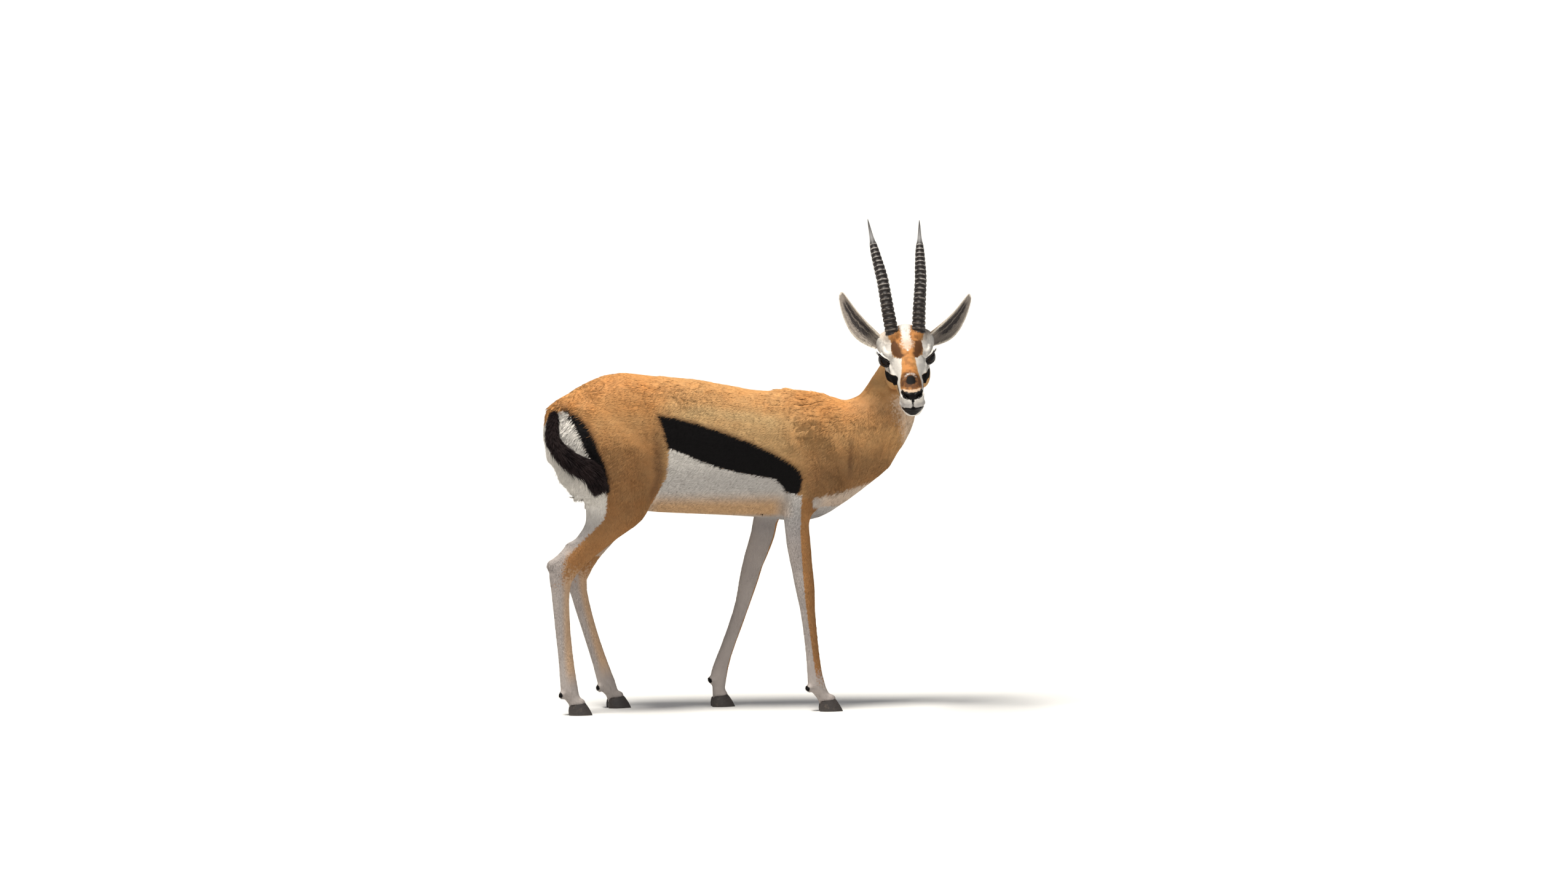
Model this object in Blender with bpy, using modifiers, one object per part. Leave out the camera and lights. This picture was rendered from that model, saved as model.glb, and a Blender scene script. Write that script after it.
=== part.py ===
"""Life-size adult male Thomson's gazelle, standing, with its head turned square to its right.

Metres. +X runs towards the shoulders, +Y to the animal's left, +Z up, and the hooves stand on z = 0.
The flesh is made whole: lofted trunk, neck, head and legs with muscle masses, fused and smoothed.
It is then parted by thin cuts into the trunk, the neck, the head, and an upper and a lower piece for each leg.
Ears, eyes, horns, tail and hooves are pieces of their own, fitted to the flesh with the same thin gap.
"""

import math

import bmesh
import bpy
from mathutils import Matrix, Vector

# ---------------------------------------------------------------- driving dimensions
WITHERS_HEIGHT = 0.635  # the tables below are drawn for this height at the shoulder
HEAD_LENGTH = 0.213  # occiput to nose tip
HORN_LENGTH = {"left": 0.232, "right": 0.241}  # along the curve, from inside the crown
HORN_RINGS = 20
EAR_LENGTH = {"left": 0.120, "right": 0.121}
EYE_RADIUS = 0.0155
GAP = 0.0004  # between touching pieces

SHIFT = Vector((-0.0573, 0.0667, 0.0))  # puts the middle of the model's box over the origin

# ---------------------------------------------------------------- how finely things are cut
VOXEL = 0.0035
FLESH_TRIANGLES = 4000
HEAD_WEIGHT = 3e-6  # how much more each edge of the head counts when triangles are thinned out
LOFT_SIDES = 28
STEPS = 5  # extra sections between two rows of a table

# ---------------------------------------------------------------- trunk and neck
# x, top z, bottom z, half width, height of the widest point as a share, how square the section is
TRUNK = (
    (-0.366, 0.570, 0.504, 0.014, 0.50, 2.0),
    (-0.355, 0.593, 0.481, 0.030, 0.50, 2.0),
    (-0.334, 0.6145, 0.462, 0.044, 0.50, 2.0),
    (-0.298, 0.635, 0.432, 0.057, 0.53, 2.0),
    (-0.245, 0.659, 0.408, 0.068, 0.55, 2.05),
    (-0.195, 0.6655, 0.397, 0.074, 0.52, 2.1),
    (-0.146, 0.660, 0.389, 0.079, 0.48, 2.1),
    (-0.073, 0.6535, 0.385, 0.086, 0.43, 2.15),
    (0.000, 0.640, 0.381, 0.088, 0.43, 2.15),
    (0.073, 0.6285, 0.375, 0.083, 0.44, 2.05),
    (0.137, 0.6300, 0.368, 0.073, 0.46, 1.95),
    (0.186, 0.6215, 0.374, 0.065, 0.46, 1.95),
    (0.235, 0.608, 0.402, 0.060, 0.48, 2.0),
    (0.285, 0.588, 0.438, 0.051, 0.50, 2.0),
    (0.322, 0.560, 0.468, 0.036, 0.50, 2.0),
    (0.342, 0.530, 0.497, 0.012, 0.50, 2.0),
)
# nape and throat in the lengthwise plane, sideways place, turn of the section, side-to-side width
NECK = (
    ((0.195, 0.600), (0.292, 0.462), 0.000, 0, 0.110),
    ((0.243, 0.609), (0.342, 0.500), 0.000, 4, 0.102),
    ((0.270, 0.622), (0.371, 0.552), -0.004, 14, 0.092),
    ((0.288, 0.650), (0.381, 0.603), -0.011, 30, 0.085),
    ((0.298, 0.680), (0.386, 0.650), -0.022, 50, 0.080),
    ((0.308, 0.704), (0.382, 0.690), -0.038, 74, 0.072),
)

# ---------------------------------------------------------------- legs: front-to-back depth and side-to-side width
# name, depth, width, share of the way from the first to the second sideways place
HIND_SIZES = (
    ("hip", 0.110, 0.036, 0.00),
    ("upper thigh", 0.226, 0.078, 0.35),
    ("mid thigh", 0.226, 0.082, 0.60),
    ("low thigh", 0.187, 0.076, 0.80),
    ("stifle", 0.150, 0.064, 0.95),
    ("upper gaskin", 0.098, 0.052, 1.00),
    ("gaskin", 0.066, 0.041, 1.00),
    ("low gaskin", 0.052, 0.032, 1.00),
    ("hock", 0.056, 0.030, 1.00),
    ("upper cannon", 0.0385, 0.0265, 1.00),
    ("mid cannon", 0.0320, 0.0215, 1.00),
    ("low cannon", 0.0315, 0.0215, 1.00),
    ("fetlock", 0.0355, 0.0275, 1.00),
    ("pastern", 0.0280, 0.0255, 1.00),
    ("coronet", 0.0330, 0.0295, 1.00),
)
HIND_RIGHT = (
    (-0.242, 0.605),
    (-0.2445, 0.530),
    (-0.2425, 0.485),
    (-0.2325, 0.446),
    (-0.2290, 0.413),
    (-0.2430, 0.380),
    (-0.2620, 0.352),
    (-0.2960, 0.317),
    (-0.3270, 0.284),
    (-0.3325, 0.245),
    (-0.3290, 0.178),
    (-0.3215, 0.104),
    (-0.3155, 0.050),
    (-0.3065, 0.030),
    (-0.2990, 0.012),
)
HIND_LEFT = (
    (-0.242, 0.605),
    (-0.2430, 0.530),
    (-0.2380, 0.485),
    (-0.2260, 0.446),
    (-0.2180, 0.413),
    (-0.2240, 0.378),
    (-0.2370, 0.347),
    (-0.2640, 0.308),
    (-0.2870, 0.273),
    (-0.2860, 0.237),
    (-0.2690, 0.174),
    (-0.2460, 0.104),
    (-0.2275, 0.050),
    (-0.2170, 0.030),
    (-0.2085, 0.012),
)
FORE_SIZES = (
    ("shoulder blade", 0.070, 0.030, 0.00),
    ("shoulder", 0.110, 0.046, 0.40),
    ("elbow", 0.088, 0.050, 0.80),
    ("forearm", 0.060, 0.042, 1.00),
    ("mid forearm", 0.0500, 0.034, 1.00),
    ("low forearm", 0.0430, 0.028, 1.00),
    ("knee", 0.0390, 0.030, 1.00),
    ("upper cannon", 0.0310, 0.0235, 1.00),
    ("mid cannon", 0.0285, 0.0205, 1.00),
    ("low cannon", 0.0285, 0.0205, 1.00),
    ("fetlock", 0.0335, 0.0265, 1.00),
    ("pastern", 0.0270, 0.0245, 1.00),
    ("coronet", 0.0320, 0.0285, 1.00),
)
FORE_RIGHT = (
    (0.142, 0.570),
    (0.178, 0.500),
    (0.160, 0.440),
    (0.1340, 0.390),
    (0.1360, 0.335),
    (0.1440, 0.277),
    (0.1500, 0.238),
    (0.1545, 0.198),
    (0.1600, 0.150),
    (0.1655, 0.100),
    (0.1715, 0.056),
    (0.1840, 0.031),
    (0.1950, 0.012),
)
FORE_LEFT = (
    (0.142, 0.570),
    (0.172, 0.500),
    (0.140, 0.440),
    (0.0950, 0.390),
    (0.0800, 0.335),
    (0.0640, 0.288),
    (0.0540, 0.252),
    (0.0420, 0.206),
    (0.0270, 0.160),
    (0.0080, 0.108),
    (-0.0055, 0.064),
    (-0.0060, 0.035),
    (-0.0030, 0.012),
)
# name, path, sizes, side (+1 is left), sideways place at the top and at the foot, turn of the toes
LEGS = (
    ("fore_leg_right", FORE_RIGHT, FORE_SIZES, -1, 0.046, 0.056, 4),
    ("fore_leg_left", FORE_LEFT, FORE_SIZES, 1, 0.046, 0.056, 0),
    ("hind_leg_right", HIND_RIGHT, HIND_SIZES, -1, 0.040, 0.060, 5),
    ("hind_leg_left", HIND_LEFT, HIND_SIZES, 1, 0.040, 0.060, 5),
)
# the knee and the hock part each leg in two: x, height and size of the box that holds the lower piece
SHANK_BOXES = {
    "fore_leg_right": (0.165, 0.245, (0.14, 0.09, 0.30)),
    "fore_leg_left": (0.020, 0.257, (0.14, 0.09, 0.30)),
    "hind_leg_right": (-0.318, 0.272, (0.14, 0.09, 0.30)),
    "hind_leg_left": (-0.250, 0.262, (0.18, 0.09, 0.30)),
}
# a slanting cut from the armpit or groin out to the shoulder or hip: a point on it, its lean, tilt and size
LEG_BOXES = {
    "fore_leg_right": ((0.172, 0.053, 0.430), -2, 104, (0.144, 0.440, 0.12)),
    "fore_leg_left": ((0.122, 0.053, 0.420), 22, 104, (0.136, 0.460, 0.12)),
    "hind_leg_right": ((-0.252, 0.045, 0.485), 0, 109, (0.264, 0.500, 0.14)),
    "hind_leg_left": ((-0.250, 0.045, 0.485), 0, 109, (0.260, 0.500, 0.14)),
}

# muscle masses on both sides: centre, half sizes, tilt about the sideways axis in degrees
MUSCLES = (
    ("shoulder blade", (0.160, 0.051, 0.520), (0.044, 0.019, 0.068), -24),
    ("upper arm", (0.178, 0.052, 0.462), (0.062, 0.023, 0.046), 18),
    ("rump", (-0.316, 0.032, 0.515), (0.046, 0.034, 0.072), 4),
)

# ---------------------------------------------------------------- head, drawn looking along its own +X
# The eyes' midpoint is its origin. x, top z, bottom z, half width, widest share, how square
HEAD = (
    (-0.074, 0.010, -0.034, 0.020, 0.50, 2.0),
    (-0.060, 0.031, -0.050, 0.035, 0.52, 2.0),
    (-0.036, 0.044, -0.061, 0.0445, 0.55, 2.1),
    (-0.008, 0.0465, -0.065, 0.0460, 0.58, 2.2),
    (0.018, 0.0400, -0.065, 0.0415, 0.54, 2.1),
    (0.042, 0.0270, -0.063, 0.0335, 0.50, 2.0),
    (0.066, 0.0160, -0.0625, 0.0275, 0.46, 2.05),
    (0.090, 0.0070, -0.0635, 0.0245, 0.46, 2.2),
    (0.108, 0.0000, -0.0660, 0.0245, 0.47, 2.35),
    (0.124, -0.0070, -0.0660, 0.0232, 0.50, 2.4),
    (0.135, -0.0150, -0.0600, 0.0180, 0.52, 2.3),
    (0.141, -0.0260, -0.0500, 0.0085, 0.50, 2.0),
)
# centre, half sizes, tilt: each on both sides of the face unless its sideways place is 0
FACE_MASSES = (
    ("orbit", (-0.004, 0.0360, 0.0050), (0.0240, 0.0170, 0.0215), 12),
    ("cheek", (-0.010, 0.0270, -0.0360), (0.0380, 0.0185, 0.0270), 14),
    ("face ridge", (0.040, 0.0230, -0.0180), (0.0340, 0.0130, 0.0150), 16),
    ("nostril", (0.1250, 0.0120, -0.0250), (0.0150, 0.0115, 0.0125), 28),
    ("upper lip", (0.1150, 0.0130, -0.0420), (0.0230, 0.0125, 0.0105), 6),
    ("lower lip", (0.1130, 0.0000, -0.0590), (0.0230, 0.0180, 0.0100), 4),
    ("horn root", (-0.016, 0.0245, 0.0400), (0.0210, 0.0170, 0.0150), 0),
    ("crown", (-0.044, 0.0000, 0.0330), (0.0260, 0.0300, 0.0200), -20),
    ("ear root", (-0.047, 0.0400, 0.0170), (0.0170, 0.0150, 0.0180), 0),
)
EYE_PLACE = Vector((0.001, 0.0365, 0.0025))
EYE_FACING = 50.0  # degrees from straight ahead
HEAD_PLACE = Vector((0.343, -0.104, 0.6945))
HEAD_TURN, HEAD_DROP, HEAD_ROLL = -94.0, 20.0, 3.8  # degrees: to the right, down, over

# ---------------------------------------------------------------- horns, ears, tail, hooves
HORN_ROOT = Vector((-0.017, 0.0250, 0.041))
HORN_BASE_RADIUS = 0.0138
HORN_SWEEP = ((0.0, 18.0), (0.3, 36.0), (0.6, 49.0), (0.8, 47.0), (1.0, 26.0))  # lean to the rear along the horn
HORN_SPREAD = {  # how far outwards along the horn
    "left": ((0.0, 0.0), (0.2, 0.0045), (0.47, 0.0125), (0.72, 0.0155), (1.0, 0.0195)),
    "right": ((0.0, 0.0), (0.2, 0.0060), (0.47, 0.0120), (0.72, 0.0220), (1.0, 0.0310)),
}
HORN_TAPER = ((-0.1, 1.0), (0.0, 1.0), (0.25, 0.88), (0.55, 0.82), (0.72, 0.70), (0.79, 0.55), (0.83, 0.36), (1.0, 0.07))
HORN_SIDES = 8
EAR_ROOT = Vector((-0.047, 0.0500, 0.022))
EAR_WALL = 0.0034
EAR_HALF_WIDTHS = (
    (0.0, 0.0120),
    (0.12, 0.0160),
    (0.28, 0.0195),
    (0.45, 0.0195),
    (0.60, 0.0172),
    (0.75, 0.0140),
    (0.88, 0.0100),
    (0.96, 0.0065),
    (1.0, 0.0036),
)
EAR_BOW = 0.0105  # the leaf sags outwards
EAR_SWING = {"left": 59.0, "right": 43.0}  # degrees away from straight up
EAR_LEAN = 28.0  # degrees to the rear
TAIL_PATH = (
    (-0.320, 0.000, 0.588, 0.020),
    (-0.336, -0.016, 0.587, 0.024),
    (-0.3462, -0.036, 0.573, 0.026),
    (-0.3508, -0.060, 0.548, 0.026),
    (-0.3410, -0.079, 0.525, 0.027),
    (-0.3185, -0.095, 0.5025, 0.029),
    (-0.2872, -0.106, 0.484, 0.033),
    (-0.2700, -0.109, 0.4605, 0.036),
    (-0.2632, -0.110, 0.442, 0.028),
    (-0.2620, -0.110, 0.434, 0.008),
)
HOOF_LENGTH, HOOF_WIDTH, HOOF_HEIGHT = 0.046, 0.0165, 0.024
CLAW_SPACING = 0.0095  # from the foot's middle to each claw's

COLOURS = {
    "tan": (0.52, 0.27, 0.11, 1.0),
    "white": (0.78, 0.74, 0.68, 1.0),
    "black": (0.020, 0.015, 0.014, 1.0),
    "horn": (0.045, 0.036, 0.032, 1.0),
    "eye": (0.006, 0.004, 0.004, 1.0),
    "hoof": (0.030, 0.025, 0.022, 1.0),
    "ear": (0.42, 0.30, 0.20, 1.0),
}


# ---------------------------------------------------------------- scene helpers
def clear_scene():
    for obj in list(bpy.data.objects):
        bpy.data.objects.remove(obj)


def new_collection(name, hidden=False):
    collection = bpy.data.collections.new(name)
    collection.hide_render = hidden
    bpy.context.scene.collection.children.link(collection)
    return collection


def material(name, colour, roughness, metallic=0.0):
    made = bpy.data.materials.new(name)
    made.use_nodes = True
    shader = made.node_tree.nodes["Principled BSDF"]
    shader.inputs["Base Color"].default_value = colour
    shader.inputs["Roughness"].default_value = roughness
    shader.inputs["Metallic"].default_value = metallic
    return made


def add_object(name, bm, collection):
    mesh = bpy.data.meshes.new(name)
    bm.to_mesh(mesh)
    bm.free()
    mesh.shade_smooth()
    obj = bpy.data.objects.new(name, mesh)
    collection.objects.link(obj)
    return obj


def evaluated_mesh(obj, name):
    """The object's mesh with its modifiers applied."""
    bpy.context.view_layer.update()
    graph = bpy.context.evaluated_depsgraph_get()
    mesh = bpy.data.meshes.new_from_object(obj.evaluated_get(graph))
    mesh.name = name
    return mesh


# ---------------------------------------------------------------- shape helpers
def smooth_rows(rows, steps=STEPS):
    """Catmull-Rom values between the rows of a table of plain numbers."""
    padded = [rows[0], *rows, rows[-1]]
    made = []
    for a, b, c, d in zip(padded, padded[1:], padded[2:], padded[3:]):
        for step in range(steps):
            t = step / steps
            made.append(
                tuple(
                    0.5 * (2 * q + (r - p) * t + (2 * p - 5 * q + 4 * r - s) * t * t + (3 * q - p - 3 * r + s) * t**3)
                    for p, q, r, s in zip(a, b, c, d)
                )
            )
    made.append(tuple(rows[-1]))
    return made


def add_ring(bm, centre, side, up, half_width, reach_up, reach_down, square=2.0, sides=LOFT_SIDES):
    """One closed section of a loft: a superellipse with its own reach above and below its widest line."""
    verts = bmesh.ops.create_circle(bm, cap_ends=False, segments=sides, radius=1.0)["verts"]
    power = 2.0 / square
    for vert in verts:
        across = math.copysign(abs(vert.co.x) ** power, vert.co.x)
        rise = math.copysign(abs(vert.co.y) ** power, vert.co.y)
        reach = reach_up if rise > 0 else reach_down
        vert.co = centre + side * (across * half_width) + up * (rise * reach)
    ring = set(verts)
    return [edge for vert in verts for edge in vert.link_edges if edge.other_vert(vert) in ring]


def join_rings(bm, rings):
    """Bridges the sections in turn and closes both ends."""
    for first, second in zip(rings, rings[1:]):
        bmesh.ops.bridge_loops(bm, edges=list(set(first)) + list(set(second)))
    bmesh.ops.holes_fill(bm, edges=[edge for edge in bm.edges if edge.is_boundary], sides=0)
    bmesh.ops.recalc_face_normals(bm, faces=bm.faces)


def sections_along_x(rows, scale=1.0):
    """A loft whose sections stand square to X."""
    bm = bmesh.new()
    rings = []
    for x, top, bottom, half_width, widest, square in smooth_rows(rows):
        middle = bottom + (top - bottom) * widest
        centre = Vector((x, 0, middle)) * scale
        reach_up, reach_down = (top - middle) * scale, (middle - bottom) * scale
        rings.append(
            add_ring(bm, centre, Vector((0, 1, 0)), Vector((0, 0, 1)), half_width * scale, reach_up, reach_down, square)
        )
    join_rings(bm, rings)
    return bm


def tube_along(path, depths, widths, ahead, sides=LOFT_SIDES):
    """A loft that follows a path. Each section is square to the path, its depth towards the ahead direction."""
    bm = bmesh.new()
    rings = []
    last = len(path) - 1
    for n, (place, depth, width) in enumerate(zip(path, depths, widths)):
        along = (path[min(n + 1, last)] - path[max(n - 1, 0)]).normalized()
        side = along.cross(ahead).normalized()
        rings.append(add_ring(bm, place, side, side.cross(along), width / 2, depth / 2, depth / 2, sides=sides))
    join_rings(bm, rings)
    return bm


def ellipsoid(bm, centre, half_sizes, tilt=0.0, segments=24):
    matrix = (
        Matrix.Translation(centre)
        @ Matrix.Rotation(math.radians(tilt), 4, "Y")
        @ Matrix.Diagonal((*half_sizes, 1.0))
    )
    bmesh.ops.create_uvsphere(bm, u_segments=segments, v_segments=segments // 2, radius=1.0, matrix=matrix)


def box_cutter(name, place, turn, size, collection):
    """A box whose lower face is at place, with its own +Z pointing along the turned up direction."""
    bm = bmesh.new()
    bmesh.ops.create_cube(bm, size=1.0)
    bmesh.ops.translate(bm, vec=(0, 0, 0.5), verts=bm.verts)
    bmesh.ops.transform(bm, matrix=Matrix.Translation(place) @ turn @ Matrix.Diagonal((*size, 1.0)), verts=bm.verts)
    cutter = add_object(name, bm, collection)
    cutter.display_type = "WIRE"
    cutter.hide_render = True
    return cutter


def boolean(obj, cutter, operation):
    modifier = obj.modifiers.new(f"{operation.lower()} {cutter.name}", "BOOLEAN")
    modifier.operation = operation
    modifier.solver = "EXACT"
    modifier.object = cutter


# ---------------------------------------------------------------- flesh
def leg_rows(path, sizes, side, top_y, foot_y):
    rows = []
    for (x, z), (_, depth, width, share) in zip(path, sizes):
        rows.append((x, side * (top_y + (foot_y - top_y) * share), z, depth, width))
    return smooth_rows(rows, steps=4)


def leg_mesh(path, sizes, side, top_y, foot_y):
    rows = leg_rows(path, sizes, side, top_y, foot_y)
    return tube_along(
        [Vector(row[:3]) for row in rows],
        [row[3] for row in rows],
        [row[4] for row in rows],
        Vector((1, 0, 0)),
    )


def heel_bone(bm, path, side, foot_y):
    """The point of the hock and the tendon that runs up from it."""
    gaskin, hock = Vector(path[7]), Vector(path[8])
    point = hock + Vector((-0.019, 0.008))
    for share, size in ((0.0, 0.0125), (0.25, 0.0095), (0.5, 0.0085), (0.75, 0.0085), (1.0, 0.0095)):
        place = point.lerp(gaskin + Vector((-0.016, 0.014)), share)
        ellipsoid(bm, (place.x, side * foot_y, place.y), (size * 1.2, size, size * 1.2))


def dewclaws(bm, fetlock, side, foot_y):
    for offset in (-0.0085, 0.0085):
        centre = (fetlock[0] - 0.0165, side * foot_y + offset, fetlock[1] - 0.012)
        ellipsoid(bm, centre, (0.0075, 0.006, 0.0085), -20, 12)


def neck_mesh():
    bm = bmesh.new()
    rings = []
    rows = [(*nape, *throat, y, turn, width) for nape, throat, y, turn, width in NECK]
    for nape_x, nape_z, throat_x, throat_z, y, turn, width in smooth_rows(rows, steps=6):
        nape, throat = Vector((nape_x, y, nape_z)), Vector((throat_x, y, throat_z))
        centre = (nape + throat) / 2
        towards_throat = (throat - nape).normalized()
        along = Vector((-towards_throat.z, 0, towards_throat.x))
        spin = Matrix.Rotation(math.radians(-turn), 3, along)
        half_depth = (throat - nape).length / 2
        rings.append(
            add_ring(bm, centre, spin @ Vector((0, 1, 0)), spin @ towards_throat, width / 2, half_depth, half_depth)
        )
    join_rings(bm, rings)
    return bm


def head_matrix():
    """From the head's own frame, which looks along +X, to the animal's."""
    turn = Matrix.Rotation(math.radians(HEAD_TURN), 4, "Z")
    drop = Matrix.Rotation(math.radians(HEAD_DROP), 4, "Y")
    roll = Matrix.Rotation(math.radians(HEAD_ROLL), 4, "X")
    return Matrix.Translation(HEAD_PLACE) @ turn @ drop @ roll


def head_mesh():
    bm = sections_along_x(HEAD)
    for _, centre, half_sizes, tilt in FACE_MASSES:
        for side in (1, -1) if centre[1] else (1,):
            ellipsoid(bm, (centre[0], side * centre[1], centre[2]), half_sizes, tilt)
    bmesh.ops.transform(bm, matrix=head_matrix(), verts=bm.verts)
    return bm


def muscle_mesh():
    bm = bmesh.new()
    for _, centre, half_sizes, tilt in MUSCLES:
        for side in (1, -1):
            ellipsoid(bm, (centre[0], side * centre[1], centre[2]), half_sizes, tilt)
    for _, path, sizes, side, _, foot_y, _ in LEGS:
        dewclaws(bm, path[-3], side, foot_y)
        if sizes is HIND_SIZES:
            heel_bone(bm, path, side, foot_y)
    return bm


def whole_flesh(collection):
    """All flesh as one closed skin: the shells are fused by voxels, smoothed where they meet, and thinned out."""
    shells = [sections_along_x(TRUNK), neck_mesh(), head_mesh(), muscle_mesh()]
    shells += [leg_mesh(path, sizes, side, top_y, foot_y) for _, path, sizes, side, top_y, foot_y, _ in LEGS]
    joined = bmesh.new()
    for shell in shells:
        mesh = bpy.data.meshes.new("shell")
        shell.to_mesh(mesh)
        shell.free()
        joined.from_mesh(mesh)
        bpy.data.meshes.remove(mesh)
    flesh = add_object("flesh", joined, collection)
    flesh.hide_render = True
    remesh = flesh.modifiers.new("fuse", "REMESH")
    remesh.mode = "VOXEL"
    remesh.voxel_size = VOXEL
    flesh.data = evaluated_mesh(flesh, "fused flesh")
    flesh.modifiers.clear()
    body = flesh.vertex_groups.new(name="body")
    head = flesh.vertex_groups.new(name="head")
    to_head = head_matrix().inverted()
    for vert in flesh.data.vertices:
        local = to_head @ vert.co
        on_head = -0.06 < local.x < 0.2 and -0.085 < local.z < 0.08 and abs(local.y) < 0.09
        on_shank = vert.co.z < 0.34
        body.add([vert.index], 0.2 if on_head or on_shank else 1.0, "REPLACE")
        head.add([vert.index], 0.9 if on_head else 0.0, "REPLACE")
    blend = flesh.modifiers.new("blend the joins", "SMOOTH")
    blend.factor = 0.6
    blend.iterations = 30
    blend.vertex_group = "body"
    thin = flesh.modifiers.new("thin out", "DECIMATE")
    thin.ratio = FLESH_TRIANGLES / (2 * len(flesh.data.polygons))
    thin.vertex_group = "head"
    thin.invert_vertex_group = True
    thin.vertex_group_factor = HEAD_WEIGHT
    flesh.data = evaluated_mesh(flesh, "flesh")
    flesh.modifiers.clear()
    return flesh


# ---------------------------------------------------------------- parting cuts
def turn_about(axis, degrees):
    return Matrix.Rotation(math.radians(degrees), 4, axis)


def cut_boxes():
    """Name of each piece and the box that holds it: the place and turn of its lower face, and its size."""
    throat_latch = head_matrix() @ Matrix.Translation((-0.052, 0, -0.050)) @ turn_about("Y", 38)
    boxes = [
        ("head", throat_latch.translation, throat_latch.to_3x3().to_4x4(), (0.40, 0.25, 0.30)),
        ("neck", Vector((0.275, 0, 0.563)), turn_about("Y", 37), (0.40, 0.30, 0.40)),
    ]
    for name, _, _, side, _, foot_y, _ in LEGS:
        x, height, width = SHANK_BOXES[name]
        boxes.append((name.replace("leg", "shank"), Vector((x, side * foot_y, height)), turn_about("X", 180), width))
    for name, _, _, side, _, _, _ in LEGS:
        (x, y, z), lean, tilt, size = LEG_BOXES[name]
        turn = turn_about("Y", lean) @ turn_about("X", -side * tilt)
        boxes.append((name, Vector((x, side * y, z)), turn, size))
    return boxes


def part_flesh(flesh, nodes, cutters):
    """Each piece is the flesh inside its box, and what is left is the trunk."""
    taken = []
    for name, place, turn, size in cut_boxes():
        piece = bpy.data.objects.new(name, flesh.data)
        nodes.objects.link(piece)
        for earlier in taken:
            boolean(piece, earlier, "DIFFERENCE")
        boolean(piece, box_cutter(f"{name} box", place, turn, size, cutters), "INTERSECT")
        grown = [length + 2 * GAP for length in size]
        place = place - (turn @ Vector((0, 0, GAP)))
        taken.append(box_cutter(f"{name} clearance", place, turn, grown, cutters))
        piece.data = evaluated_mesh(piece, name)
        piece.modifiers.clear()
    trunk = bpy.data.objects.new("trunk", flesh.data)
    nodes.objects.link(trunk)
    for earlier in taken:
        boolean(trunk, earlier, "DIFFERENCE")
    trunk.data = evaluated_mesh(trunk, "trunk")
    trunk.modifiers.clear()


# ---------------------------------------------------------------- horns, ears, eyes, tail, hooves
def between(table, share):
    """The value of a two-column table at this share, in straight lines between its rows."""
    for (start, first), (end, second) in zip(table, table[1:]):
        if share <= end:
            return first + (second - first) * max(0.0, (share - start) / (end - start))
    return table[-1][1]


def horn_path(label, side):
    """Centre points and radii from root to tip. Each ring is a valley and a crest."""
    ringed = 0.80  # share of the horn that carries rings
    length = HORN_LENGTH[label]
    count = 2 * HORN_RINGS
    shares = [-0.035] + [ringed * n / count for n in range(count + 1)] + [0.84, 0.91, 0.96, 1.0]
    place = HORN_ROOT.copy()
    points, radii = [], []
    last = 0.0
    for n, share in enumerate(shares):
        lean = math.radians(between(HORN_SWEEP, share))
        step = (share - last) * length
        last = share
        place += Vector((-math.sin(lean) * step, 0, math.cos(lean) * step))
        spread = between(HORN_SPREAD[label], share)
        points.append(Vector((place.x, side * (place.y + spread), place.z)))
        crest = 1.0 if n % 2 or not 0 < n <= count else 0.87
        radii.append(HORN_BASE_RADIUS * between(HORN_TAPER, share) * crest)
    return points, radii


def horn(name, label, side, flesh_grown, nodes):
    points, radii = horn_path(label, side)
    widths = [2 * r for r in radii]
    depths = [2.3 * r for r in radii]
    bm = tube_along(points, depths, widths, Vector((1, 0, 0)), sides=HORN_SIDES)
    bmesh.ops.transform(bm, matrix=head_matrix(), verts=bm.verts)
    obj = add_object(name, bm, nodes)
    boolean(obj, flesh_grown, "DIFFERENCE")


def ear_matrix(side, swing):
    """From the flat ear, its root at the origin, its length along +Z and its opening towards +X, to the head's frame."""
    place = Vector((EAR_ROOT.x, side * EAR_ROOT.y, EAR_ROOT.z))
    lean = turn_about("X", -side * swing) @ turn_about("Y", -EAR_LEAN)
    return head_matrix() @ Matrix.Translation(place) @ lean @ turn_about("Z", side * 10)


def ear(name, label, side, flesh_grown, nodes):
    """A leaf rolled into a cup, rolled most at its root."""
    bm = bmesh.new()
    bmesh.ops.create_grid(bm, x_segments=5, y_segments=8, size=1.0)
    for vert in bm.verts:
        share = 1 - (1 - (vert.co.y + 1) / 2) ** 1.25
        curl = math.radians(100 - 58 * share**0.7)  # half angle of the rolled section
        radius = between(EAR_HALF_WIDTHS, share) / math.sin(min(curl, math.pi / 2))
        angle = vert.co.x * curl
        across = radius * math.sin(angle) + side * EAR_BOW * math.sin(math.pi * share)
        height = (share * 1.08 - 0.08) * EAR_LENGTH[label]
        vert.co = (radius * (1 - math.cos(angle)) - 0.012 * share**2, across, height)
    bmesh.ops.recalc_face_normals(bm, faces=bm.faces)
    bmesh.ops.transform(bm, matrix=ear_matrix(side, EAR_SWING[label]), verts=bm.verts)
    obj = add_object(name, bm, nodes)
    wall = obj.modifiers.new("wall", "SOLIDIFY")
    wall.thickness = EAR_WALL
    wall.offset = 0.0
    boolean(obj, flesh_grown, "DIFFERENCE")


def eye_matrix(side):
    """From the eyeball's own frame, which looks along +X, to the animal's."""
    place = Vector((EYE_PLACE.x, side * EYE_PLACE.y, EYE_PLACE.z))
    return head_matrix() @ Matrix.Translation(place) @ turn_about("Z", side * EYE_FACING)


def eye(name, side, collection, radius):
    bm = bmesh.new()
    matrix = eye_matrix(side) @ turn_about("Y", 90)
    bmesh.ops.create_uvsphere(bm, u_segments=12, v_segments=8, radius=radius, matrix=matrix)
    return add_object(name, bm, collection)


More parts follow.
